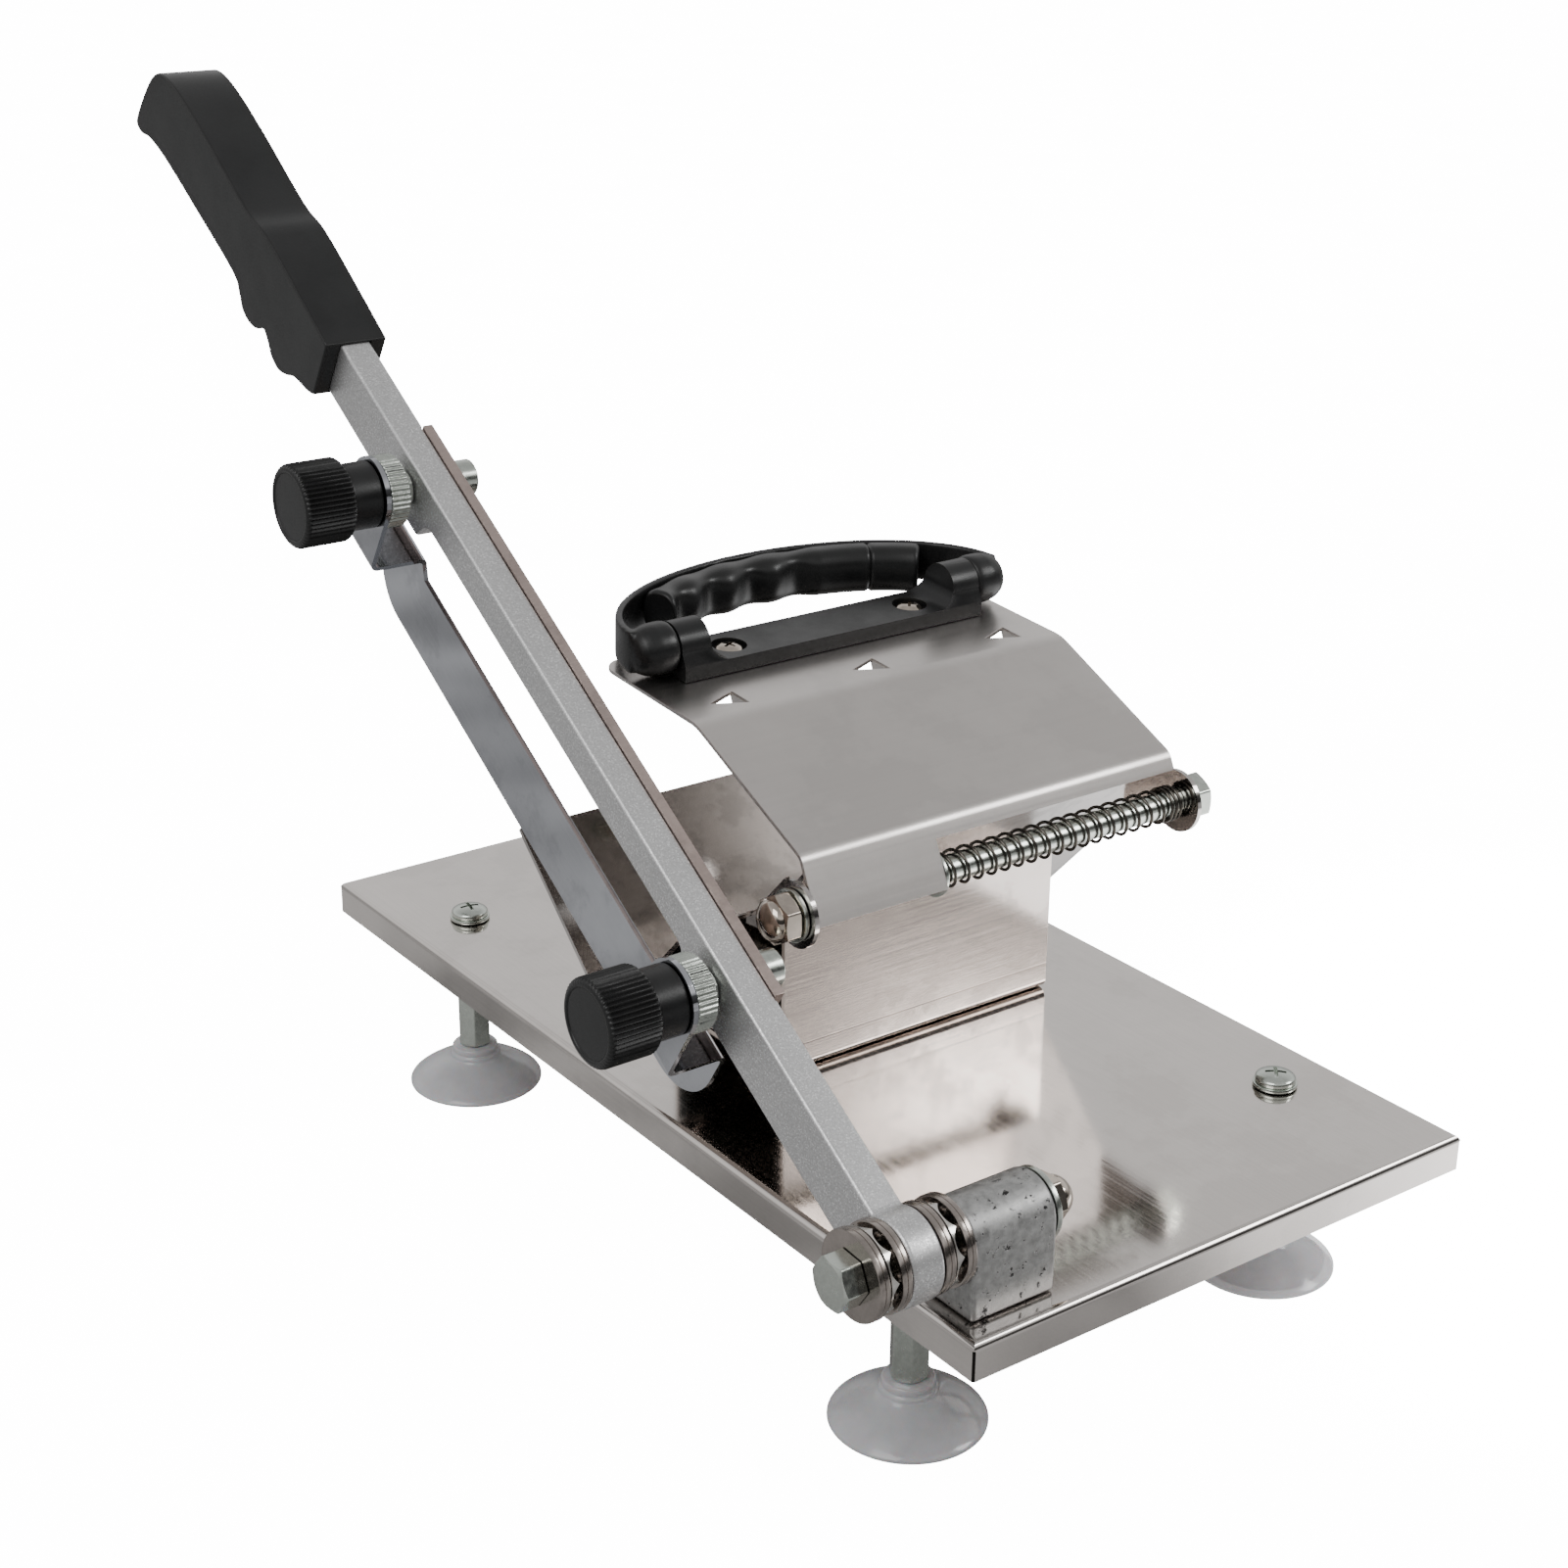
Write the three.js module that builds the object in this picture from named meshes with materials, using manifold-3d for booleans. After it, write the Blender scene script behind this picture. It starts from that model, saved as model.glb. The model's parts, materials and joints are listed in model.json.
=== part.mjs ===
// Hand-operated frozen meat slicer: a lever with a blade shears slices off a roll that lies in a V trough.
// Millimetres, +Z up. +X runs across the base away from the lever, +Y runs along the base to the grip.
// Lengths below are measured from the front left corner of the base's top face, before the last shift.
import * as THREE from "three";
import { mergeVertices } from "three/addons/utils/BufferGeometryUtils.js";
import Module from "manifold-3d";

const wasm = await Module();
wasm.setup();

// Clearances
const SEAT = 0.3;
const RUN = 0.25;
const OVERRUN = 1;

// Base pan
const BASE_WIDTH = 180;
const BASE_LENGTH = 340;
const BASE_RIM = 11;
const BASE_SHEET = 1.5;
const BASE_BEND = 2.5;
const CORNER_SLOT = 2.2;

// Feet
const FOOT_SIDE_INSET = 22;
const FOOT_END_INSET = 51.5;
const FOOT_SCREW_RADIUS = 2.5;
const FOOT_HEAD_RADIUS = 5;
const FOOT_HEAD_HEIGHT = 3.2;
const FOOT_WASHER_RADIUS = 6.6;
const FOOT_WASHER_SHEET = 1.1;
const FOOT_SCREW_REACH = 11;
const PILLAR_FLATS = 10;
const PILLAR_LENGTH = 44.2;
const SPIGOT_LENGTH = 5.5;
const CROSS_SLOT_WIDTH = 1.1;
const CROSS_SLOT_LENGTH = 5.4;
const CROSS_SLOT_DEPTH = 1.8;
const CUP_RIM_RADIUS = 22.2;
const CUP_NECK_RADIUS = 7.6;
const CUP_HEIGHT = 13.3;
const CUP_HOLLOW_RADIUS = 18.2;
const CUP_HOLLOW_DEPTH = 3.4;
const CUP_RIM_WALL = 0.9;

// Pivot of the lever
const PIVOT_Y = 17.2;
const PIVOT_Z = 20.3;
const BLOCK_LEFT = 4.9;
const BLOCK_LENGTH = 27.4;
const BLOCK_HALF_WIDTH = 10.3;
const BLOCK_SCREW_RADIUS = 2.5;
const BLOCK_SCREW_INSET = 6.5;
const BLOCK_SCREW_REACH = 10;
const BLOCK_SCREW_HEAD_RADIUS = 4.5;
const BLOCK_SCREW_HEAD_HEIGHT = 3;
const BOLT_RADIUS = 5;
const BOLT_FLATS = 16.4;
const BOLT_HEAD_HEIGHT = 6.4;
const BOLT_WASHER_RADIUS = 10;
const BOLT_WASHER_SHEET = 1.6;
const BOLT_NUT_HEIGHT = 7.5;
const BOLT_DOME_HEIGHT = 6.2;
const BEARING_RADIUS = 12.1;
const BEARING_RACE = 3.2;
const BEARING_CAGE = 2.9;
const BEARING_BALLS = 9;
const BEARING_RACE_CHAMFER = 0.5;

// Lever, drawn along its own length from the pivot axis
const LEVER_ANGLE = 32.45;
const LEVER_THICKNESS = 9.8;
const LEVER_TOP = 6.7;
const LEVER_DEPTH = 19;
const LEVER_EYE_RADIUS = 12.3;
const LEVER_RELIEF_DEPTH = 7.6;
const LEVER_RELIEF_BEND = 4;
const LEVER_NECK = 45.75;
const TANG_LENGTH = 100;
const TANG_INSET = 3;
const BLADE_REBATE = 0.8;
const BLADE_THICKNESS = 3;
const BLADE_HEIGHT = 29.5;
const BLADE_RISE = 0.9;
const BLADE_START = 74.25;
const BLADE_LENGTH = 210;
const BLADE_BEVEL = 7;
const BLADE_EDGE = 0.4;
const STUD_INSET = 13.25;
const STUD_DROP = 2.8;
const STUD_RADIUS = 3;
const STUD_HEAD_RADIUS = 5.4;
const STUD_HEAD_LENGTH = 8.6;
const STUD_LENGTH = 46.2;
const STUD_NUT_FLATS = 10;
const STUD_NUT_HEIGHT = 1.8;

// Slice gauge, carried on the studs
const GAUGE_SHEET = 1.5;
const GAUGE_BEND = 1.6;
const GAUGE_TAB_WIDTH = 21.6;
const GAUGE_TAB_LEFT = 27.4;
const GAUGE_STRIP_LEFT = 9.5;
const GAUGE_SHELF_DROP = 24.9;
const GAUGE_STRIP_TOP = 29.8;
const GAUGE_STRIP_BOTTOM = 53.4;
const GAUGE_END_RADIUS = 18;
const GAUGE_NECK_RADIUS = 6;
const KNURL_RADIUS = 10.7;
const KNURL_DEPTH = 0.5;
const KNURL_TEETH = 44;
const KNURL_LENGTH = 6.4;
const KNOB_RADIUS = 12.2;
const KNOB_FLUTE_DEPTH = 0.7;
const KNOB_FLUTES = 36;
const KNOB_CAP_LENGTH = 15.8;
const KNOB_COLLAR_RADIUS = 9.8;
const KNOB_COLLAR_LENGTH = 9.2;
const KNOB_END_WALL = 2.5;

// Grip of the lever
const GRIP_OVERLAP = 9;
const GRIP_LENGTH = 137;
const GRIP_WIDTH = 20;
const GRIP_HEIGHT = 26;
const GRIP_RISE = 2.17;
const GRIP_ROUNDING = 3.2;

// Trough
const TROUGH_LEFT = -1.2;
const TROUGH_RIGHT = 163;
const TROUGH_SHEET = 1.45;
const TROUGH_BEND = 4;
const TROUGH_BOTTOM_Y = 165;
const TROUGH_BOTTOM_Z = 20.1;
const TROUGH_FRONT_Y = 107.8;
const TROUGH_FRONT_Z = 81.3;
const TROUGH_REAR_Y = 213;
const TROUGH_REAR_Z = 64;
const TROUGH_LOW_EDGE_Y = 123.4;
const TONGUE_LEFT = 28;
const EAR_LEFT = 20;
const EAR_RADIUS = 9.6;
const EAR_UPPER_ANGLE = 64;
const EAR_LOWER_ANGLE = -66;

// Bracket under the trough
const BRACKET_LEFT = 42.5;
const BRACKET_WIDTH = 102.3;
const BRACKET_FRONT_Y = 138.3;
const BRACKET_DEPTH = 58;
const BRACKET_SHEET = 1.5;
const BRACKET_BEND = 1.5;
const BRACKET_SCREW_RADIUS = 2.5;
const BRACKET_SCREW_INSET = 26;
const BRACKET_SCREW_HEAD_RADIUS = 4.5;
const BRACKET_SCREW_HEAD_HEIGHT = 3;
const BRACKET_SCREW_END = 7;
const BRACKET_NUT_FLATS = 8;
const BRACKET_NUT_HEIGHT = 4;

// Guide rod and spring
const ROD_Y = 103.5;
const ROD_Z = 72;
const ROD_RADIUS = 4;
const ROD_FLATS = 13;
const ROD_HEAD_HEIGHT = 5.3;
const ROD_WASHER_RADIUS = 7.6;
const ROD_WASHER_SHEET = 1.3;
const ROD_NUT_HEIGHT = 5.4;
const ROD_DOME_HEIGHT = 3.4;
const ROD_DOME_RADIUS = 5.9;
const SLEEVE_RADIUS = 5.5;
const SLEEVE_LEFT = 22;
const SLEEVE_LENGTH = 45;
const SPRING_RADIUS = 5.5;
const SPRING_WIRE = 1.15;
const SPRING_OPEN_CURLS = 17;
const SPRING_CLOSE_CURLS = 3;
const SPRING_CLOSE_PITCH = 1.7;
const SPRING_WASHER_RADIUS = 7;
const SPRING_WASHER_SHEET = 1.2;

// Press plate
const PRESS_SHEET = 1.2;
const PRESS_LEFT = 22;
const PRESS_WIDTH = 136;
const PRESS_BAND_Y = 95.5;
const PRESS_BAND_Z = 70.3;
const PRESS_FOLD_Y = 104;
const PRESS_FOLD_Z = 88;
const PRESS_CREASE_Y = 153.5;
const PRESS_CREASE_Z = 110.5;
const PRESS_BACK_Y = 203.5;
const PRESS_BACK_Z = 114;
const PRESS_LIP_Z = 83.5;
const PRESS_FOLD_BEND = 4;
const PRESS_CREASE_BEND = 14;
const PRESS_CORNER = 7;
const TOOTH_COUNT = 3;
const TOOTH_FIRST = 11.5;
const TOOTH_PITCH = 51;
const TOOTH_BACK = 9.5;
const TOOTH_WIDTH = 9;
const TOOTH_LENGTH = 10.5;

// Handle on the press plate
const HANDLE_INSET_LEFT = 13;
const HANDLE_INSET_RIGHT = 12;
const HANDLE_FORWARD = 16.4;
const HANDLE_WIDTH = 18.4;
const HANDLE_BAR = 4.6;
const HANDLE_LUG = 10;
const HANDLE_LUG_CLEARANCE = 0.8;
const HANDLE_AXIS_HEIGHT = 8.7;
const HANDLE_PIN_RADIUS = 2.6;
const HANDLE_PIN_LENGTH = 14.5;
const BAIL_EYE_RADIUS = 7.9;
const BAIL_EYE_LENGTH = 12.7;
const BAIL_REACH = 43.3;
const BAIL_FOLD = 92;
const BAIL_STRIP = 2.4;
const BAIL_STRIP_WIDTH = 12.6;
const BAIL_GRIP_DEPTH = 13;
const BAIL_GRIP_WIDTH = 15;
const BAIL_GRIP_ROUNDING = 3.6;
const BAIL_GRIP_OUTER_ANGLE = 45;
const BAIL_GRIP_INNER_ANGLE = 37.5;
const BAIL_GRIP_LOBES = 4;
const BAIL_LOBE_DEPTH = 1.5;
const HANDLE_SCREW_SPREAD = 68;
const HANDLE_SCREW_RADIUS = 2;
const HANDLE_SCREW_HEAD_RADIUS = 4.2;
const HANDLE_SCREW_HEAD_HEIGHT = 1.9;
const HANDLE_RECESS_RADIUS = 5.4;
const HANDLE_RECESS_DEPTH = 2;
const HANDLE_SCREW_REACH = 6;
const HANDLE_NUT_FLATS = 7;
const HANDLE_NUT_HEIGHT = 2.8;

// Facets
const SIDES = 16;
const FINE_SIDES = 24;
const ARC_STEP = Math.PI / 8;
const WIRE_SIDES = 5;
const CURL_STEPS = 8;
const BAIL_STEPS = 32;
const LOBE_STEPS = 4;
const DOME_STEPS = 4;
const BEVEL_STEPS = 2;
const BALL_SIDES = 6;
const BALL_RINGS = 4;

// Materials
function metal(color, roughness) {
  return () => new THREE.MeshStandardMaterial({ color, roughness, metalness: 1 });
}

function plastic(color, roughness) {
  return () => new THREE.MeshStandardMaterial({ color, roughness, metalness: 0 });
}

const satinSteel = metal(0xb4aea8, 0.28);
const mirrorSteel = metal(0x9c9a98, 0.14);
const brushedSteel = metal(0x9a9896, 0.34);
const zinc = metal(0xc6cabf, 0.36);
const chrome = metal(0xd6d2cc, 0.1);
const castAluminium = metal(0xb6b8ba, 0.52);
const castBlock = metal(0x8f8e8b, 0.62);
const raceSteel = metal(0x7d736a, 0.3);
const springSteel = metal(0x45413c, 0.3);
const bladeSteel = metal(0xa3928a, 0.4);
const blackPlastic = plastic(0x1c1d1e, 0.42);
const clearPvc = plastic(0x9a9aa2, 0.32);

// Geometry helpers
const X = new THREE.Vector3(1, 0, 0);
const Y = new THREE.Vector3(0, 1, 0);
const Z = new THREE.Vector3(0, 0, 1);

// An outline runs along the axis after its plane: (y, z) along x, (z, x) along y and (x, y) along z.
const DRAWN = {
  x: new THREE.Matrix4().makeBasis(Y, Z, X),
  y: new THREE.Matrix4().makeBasis(Z, X, Y),
  z: new THREE.Matrix4(),
};

// A turned profile has its height along the axis.
const TURNED = {
  x: new THREE.Matrix4().makeBasis(Z, X, Y),
  y: new THREE.Matrix4(),
  z: new THREE.Matrix4().makeBasis(Y, Z, X),
};

function solid(geometry) {
  const shell = geometry.clone();
  shell.deleteAttribute("normal");
  shell.deleteAttribute("uv");
  const merged = mergeVertices(shell);
  return new wasm.Manifold(
    new wasm.Mesh({
      numProp: 3,
      vertProperties: merged.attributes.position.array,
      triVerts: new Uint32Array(merged.index.array),
    }),
  );
}

function join(first, ...others) {
  return others.reduce((whole, other) => whole.add(other), first);
}

function cut(whole, ...tools) {
  return tools.reduce((rest, tool) => rest.subtract(tool), whole);
}

function geometryOf(body) {
  const mesh = body.getMesh();
  const geometry = new THREE.BufferGeometry();
  geometry.setAttribute("position", new THREE.BufferAttribute(mesh.vertProperties, mesh.numProp));
  geometry.setIndex(new THREE.BufferAttribute(mesh.triVerts, 1));
  return geometry;
}

function piece(group, name, material, body) {
  const mesh = new THREE.Mesh(geometryOf(body), material());
  mesh.name = name;
  group.add(mesh);
}

// Corners are [across, up, radius]; each rounded corner becomes an arc of short chords.
function rounded(corners, closed = true) {
  const points = [];
  corners.forEach(([a, b, radius = 0], i) => {
    const here = new THREE.Vector2(a, b);
    const isEnd = !closed && (i === 0 || i === corners.length - 1);
    if (!radius || isEnd) {
      points.push(here);
      return;
    }
    const last = corners[(i + corners.length - 1) % corners.length];
    const next = corners[(i + 1) % corners.length];
    const back = new THREE.Vector2(last[0], last[1]).sub(here).normalize();
    const ahead = new THREE.Vector2(next[0], next[1]).sub(here).normalize();
    const half = Math.acos(THREE.MathUtils.clamp(back.dot(ahead), -1, 1)) / 2;
    const centre = back.clone().add(ahead).normalize().multiplyScalar(radius / Math.sin(half)).add(here);
    const start = back.clone().multiplyScalar(radius / Math.tan(half)).add(here).sub(centre);
    const side = Math.sign(back.cross(ahead));
    const turn = (Math.PI - 2 * half) * -side;
    const steps = Math.max(1, Math.ceil(Math.abs(turn) / ARC_STEP));
    for (let step = 0; step <= steps; step += 1) {
      points.push(start.clone().rotateAround(new THREE.Vector2(), (turn * step) / steps).add(centre));
    }
  });
  return points;
}

// A sheet bent along a line of corners; bend is its inner radius.
function bentSheet(corners, sheet, bends) {
  const line = rounded(
    corners.map(([a, b], i) => [a, b, i > 0 && i < corners.length - 1 ? bends[i - 1] + sheet / 2 : 0]),
    false,
  );
  const sides = [1, -1].map((side) =>
    line.map((point, i) => {
      const from = line[Math.max(i - 1, 0)];
      const to = line[Math.min(i + 1, line.length - 1)];
      const along = to.clone().sub(from).normalize();
      return new THREE.Vector2(-along.y, along.x).multiplyScalar((side * sheet) / 2).add(point);
    }),
  );
  return [...sides[0], ...sides[1].reverse()];
}

function extrude(outline, axis, from, to, bevel = 0) {
  const geometry = new THREE.ExtrudeGeometry(new THREE.Shape(outline), {
    depth: to - from - 2 * bevel,
    bevelEnabled: bevel > 0,
    bevelThickness: bevel,
    bevelSize: bevel,
    bevelOffset: -bevel,
    bevelSegments: BEVEL_STEPS,
    steps: 1,
  });
  geometry.translate(0, 0, from + bevel);
  geometry.applyMatrix4(DRAWN[axis]);
  return solid(geometry);
}

// A profile of [radius, height] pairs turned about an axis through a point.
function turned(profile, axis, centre = [0, 0, 0], sides = SIDES, phase = 0) {
  const points = profile.map(([radius, height]) => new THREE.Vector2(radius, height));
  const geometry = new THREE.LatheGeometry(points, sides, phase);
  geometry.applyMatrix4(TURNED[axis]);
  geometry.translate(...centre);
  return solid(geometry);
}

function cylinder(radius, axis, from, to, centre, sides = SIDES) {
  const profile = [
    [0, from],
    [radius, from],
    [radius, to],
    [0, to],
  ];
  return turned(profile, axis, centre, sides);
}

function ring(inner, outer, axis, from, to, centre, chamfer = 0) {
  const profile = [
    [inner, from],
    [outer - chamfer, from],
    [outer, from + chamfer],
    [outer, to - chamfer],
    [outer - chamfer, to],
    [inner, to],
    [inner, from],
  ];
  const corners = chamfer ? profile : profile.filter((corner, i) => i !== 1 && i !== 4);
  return turned(corners, axis, centre, SIDES);
}

function hexagon(flats, axis, from, to, centre, phase = 0) {
  const radius = flats / Math.sqrt(3);
  const profile = [
    [0, from],
    [radius, from],
    [radius, to],
    [0, to],
  ];
  return turned(profile, axis, centre, 6, phase);
}

// A hexagonal head whose corners are turned down at the end that faces away.
function hexHead(flats, axis, from, to, centre, chamferedEnds) {
  const radius = flats / Math.sqrt(3);
  const drop = (radius - flats / 2) / 2;
  const [low, high] = chamferedEnds;
  const cone = turned(
    [
      [0, from],
      [low ? flats / 2 : radius, from],
      [radius, from + (low ? drop : 0)],
      [radius, to - (high ? drop : 0)],
      [high ? flats / 2 : radius, to],
      [0, to],
    ].filter((corner, i, all) => i === 0 || corner[0] !== all[i - 1][0] || corner[1] !== all[i - 1][1]),
    axis,
    centre,
    SIDES,
  );
  return hexagon(flats, axis, from, to, centre, Math.PI / 6).intersect(cone);
}

function block(x, y, z) {
  const outline = [
    new THREE.Vector2(x[0], y[0]),
    new THREE.Vector2(x[1], y[0]),
    new THREE.Vector2(x[1], y[1]),
    new THREE.Vector2(x[0], y[1]),
  ];
  return extrude(outline, "z", z[0], z[1]);
}

// Regular teeth round a circle, as an outline
function toothed(radius, depth, count) {
  return Array.from({ length: 2 * count }, (_, i) => {
    const reach = i % 2 ? radius - depth : radius;
    const angle = (Math.PI * i) / count;
    return new THREE.Vector2(reach * Math.cos(angle), reach * Math.sin(angle));
  });
}

function shifted(points, across, up) {
  return points.map((point) => new THREE.Vector2(point.x + across, point.y + up));
}

// A dome above a height, as the last part of a turned profile
function domeProfile(radius, from, rise) {
  return Array.from({ length: DOME_STEPS + 1 }, (_, i) => {
    const angle = (Math.PI / 2) * (i / DOME_STEPS);
    return [i === DOME_STEPS ? 0 : radius * Math.cos(angle), from + rise * Math.sin(angle)];
  });
}

const model = new THREE.Group();

// Base pan: a folded sheet with open corners
const BASE_BOTTOM = -BASE_RIM;
const FOOT_PLACES = [
  [FOOT_SIDE_INSET, FOOT_END_INSET],
  [BASE_WIDTH - FOOT_SIDE_INSET, FOOT_END_INSET],
  [FOOT_SIDE_INSET, BASE_LENGTH - FOOT_END_INSET],
  [BASE_WIDTH - FOOT_SIDE_INSET, BASE_LENGTH - FOOT_END_INSET],
];
const BLOCK_RIGHT = BLOCK_LEFT + BLOCK_LENGTH;
const BLOCK_SCREW_PLACES = [
  [BLOCK_LEFT + BLOCK_SCREW_INSET, PIVOT_Y],
  [BLOCK_RIGHT - BLOCK_SCREW_INSET, PIVOT_Y],
];
const BRACKET_RIGHT = BRACKET_LEFT + BRACKET_WIDTH;
const BRACKET_MIDDLE_Y = BRACKET_FRONT_Y + BRACKET_DEPTH / 2;
const BRACKET_SCREW_PLACES = [
  [BRACKET_LEFT + BRACKET_SCREW_INSET, BRACKET_MIDDLE_Y],
  [BRACKET_RIGHT - BRACKET_SCREW_INSET, BRACKET_MIDDLE_Y],
];

function foldedBox(inset, top, bottom, bend) {
  const profile = (length) =>
    rounded([
      [inset, bottom],
      [length - inset, bottom],
      [length - inset, top, bend],
      [inset, top, bend],
    ]);
  const swapped = profile(BASE_WIDTH).map((point) => new THREE.Vector2(point.y, point.x));
  const acrossX = extrude(swapped, "y", inset, BASE_LENGTH - inset);
  const acrossY = extrude(profile(BASE_LENGTH), "x", inset, BASE_WIDTH - inset);
  return acrossX.intersect(acrossY);
}

function hole(radius, [x, y], from, to) {
  return cylinder(radius + RUN, "z", from, to, [x, y, 0]);
}

function basePlate() {
  const outer = foldedBox(0, 0, BASE_BOTTOM, BASE_BEND);
  const inner = foldedBox(BASE_SHEET, -BASE_SHEET, BASE_BOTTOM - OVERRUN, BASE_BEND - BASE_SHEET);
  const slots = [0, BASE_WIDTH].flatMap((x) =>
    [0, BASE_LENGTH].map((y) =>
      block(
        [x - CORNER_SLOT, x + CORNER_SLOT],
        [y - CORNER_SLOT, y + CORNER_SLOT],
        [BASE_BOTTOM - OVERRUN, -BASE_BEND],
      ),
    ),
  );
  const bores = [
    [FOOT_SCREW_RADIUS, FOOT_PLACES],
    [BLOCK_SCREW_RADIUS, BLOCK_SCREW_PLACES],
    [BRACKET_SCREW_RADIUS, BRACKET_SCREW_PLACES],
  ].flatMap(([radius, places]) =>
    places.map((place) => hole(radius, place, -BASE_SHEET - OVERRUN, OVERRUN)),
  );
  return cut(outer, inner, ...slots, ...bores);
}

piece(model, "base_plate", satinSteel, basePlate());

// Feet: screw from above, hexagonal pillar, suction cup
const PILLAR_TOP = -BASE_SHEET - SEAT;
const PILLAR_BOTTOM = PILLAR_TOP - PILLAR_LENGTH;
const CUP_TOP = PILLAR_BOTTOM - SEAT;
const CUP_BOTTOM = CUP_TOP - CUP_HEIGHT;

function crossRecess([x, y], top) {
  const half = CROSS_SLOT_LENGTH / 2;
  const thin = CROSS_SLOT_WIDTH / 2;
  const depth = [top - CROSS_SLOT_DEPTH, top + OVERRUN];
  return [
    block([x - half, x + half], [y - thin, y + thin], depth),
    block([x - thin, x + thin], [y - half, y + half], depth),
  ];
}

function footScrew(place) {
  const washerTop = SEAT + FOOT_WASHER_SHEET;
  const headTop = washerTop + FOOT_HEAD_HEIGHT;
  const headEdge = washerTop + FOOT_HEAD_HEIGHT / 2;
  const body = turned(
    [
      [0, PILLAR_TOP - FOOT_SCREW_REACH],
      [FOOT_SCREW_RADIUS, PILLAR_TOP - FOOT_SCREW_REACH],
      [FOOT_SCREW_RADIUS, SEAT],
      [FOOT_WASHER_RADIUS, SEAT],
      [FOOT_WASHER_RADIUS, washerTop],
      [FOOT_HEAD_RADIUS, washerTop],
      ...domeProfile(FOOT_HEAD_RADIUS, headEdge, headTop - headEdge),
    ],
    "z",
    [...place, 0],
  );
  return cut(body, ...crossRecess(place, headTop));
}

function footPillar([x, y]) {
  const centre = [x, y, 0];
  const spigot = cylinder(FOOT_SCREW_RADIUS, "z", PILLAR_BOTTOM - SPIGOT_LENGTH, PILLAR_TOP, centre);
  const body = join(hexagon(PILLAR_FLATS, "z", PILLAR_BOTTOM, PILLAR_TOP, centre), spigot);
  const boreEnd = PILLAR_TOP - FOOT_SCREW_REACH - OVERRUN;
  return cut(body, hole(FOOT_SCREW_RADIUS, [x, y], boreEnd, PILLAR_TOP + OVERRUN));
}

// Heights and radii of the bell between rim and neck
const CUP_BELL_SHARES = [
  [0.86, 0.22],
  [0.64, 0.42],
  [0.46, 0.58],
  [0.36, 0.76],
];

function suctionCup([x, y]) {
  const socketRadius = FOOT_SCREW_RADIUS + RUN;
  const socketBottom = CUP_TOP - SPIGOT_LENGTH - SEAT;
  const bell = CUP_BELL_SHARES.map(([out, up]) => [CUP_RIM_RADIUS * out, CUP_BOTTOM + CUP_HEIGHT * up]);
  const profile = [
    [0, CUP_BOTTOM + CUP_HOLLOW_DEPTH],
    [CUP_HOLLOW_RADIUS / 2, CUP_BOTTOM + CUP_HOLLOW_DEPTH],
    [CUP_HOLLOW_RADIUS, CUP_BOTTOM],
    [CUP_RIM_RADIUS, CUP_BOTTOM],
    [CUP_RIM_RADIUS, CUP_BOTTOM + CUP_RIM_WALL],
    ...bell,
    [CUP_NECK_RADIUS, CUP_TOP - CUP_RIM_WALL],
    [CUP_NECK_RADIUS - CUP_RIM_WALL, CUP_TOP],
    [socketRadius, CUP_TOP],
    [socketRadius, socketBottom],
    [0, socketBottom],
  ];
  return turned(profile, "z", [x, y, 0], FINE_SIDES);
}

FOOT_PLACES.forEach((place, i) => {
  piece(model, `foot_screw_${i + 1}`, zinc, footScrew(place));
  piece(model, `foot_pillar_${i + 1}`, zinc, footPillar(place));
  piece(model, `suction_cup_${i + 1}`, clearPvc, suctionCup(place));
});

// Pivot block with its bolt, and the two thrust bearings beside the lever
const PIVOT = [0, PIVOT_Y, PIVOT_Z];
const BOLT_BORE = BOLT_RADIUS + RUN;
const BEARING_WIDTH = 2 * BEARING_RACE + BEARING_CAGE + 2 * SEAT;
const BEARING_RIGHT_END = BLOCK_LEFT - SEAT;
const LEVER_RIGHT = BEARING_RIGHT_END - BEARING_WIDTH - SEAT;
const LEVER_LEFT = LEVER_RIGHT - LEVER_THICKNESS;
const BEARING_LEFT_END = LEVER_LEFT - SEAT;
const BOLT_SEAT = BEARING_LEFT_END - BEARING_WIDTH - SEAT;
const BOLT_WASHER_LEFT = BLOCK_RIGHT + SEAT;
const BOLT_NUT_LEFT = BOLT_WASHER_LEFT + BOLT_WASHER_SHEET + SEAT;
const BOLT_NUT_RIGHT = BOLT_NUT_LEFT + BOLT_NUT_HEIGHT;

function pivotBlock() {
  const top = PIVOT_Z + BLOCK_HALF_WIDTH;
  const outline = rounded([
    [PIVOT_Y - BLOCK_HALF_WIDTH, SEAT],
    [PIVOT_Y + BLOCK_HALF_WIDTH, SEAT],
    [PIVOT_Y + BLOCK_HALF_WIDTH, top, BLOCK_HALF_WIDTH - RUN],
    [PIVOT_Y - BLOCK_HALF_WIDTH, top, BLOCK_HALF_WIDTH - RUN],
  ]);
  const body = extrude(outline, "x", BLOCK_LEFT, BLOCK_RIGHT);
  const bore = cylinder(BOLT_BORE, "x", BLOCK_LEFT - OVERRUN, BLOCK_RIGHT + OVERRUN, PIVOT);
  const threads = BLOCK_SCREW_PLACES.map((place) =>
    hole(BLOCK_SCREW_RADIUS, place, -OVERRUN, BLOCK_SCREW_REACH + OVERRUN / 2),
  );
  return cut(body, bore, ...threads);
}

function panScrew([x, y], radius, headRadius, headHeight, tip) {
  const headTop = -BASE_SHEET - SEAT;
  return turned(
    [
      [0, headTop - headHeight],
      [headRadius, headTop - headHeight],
      [headRadius, headTop],
      [radius, headTop],
      [radius, tip],
      [0, tip],
    ],
    "z",
    [x, y, 0],
  );
}

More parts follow.
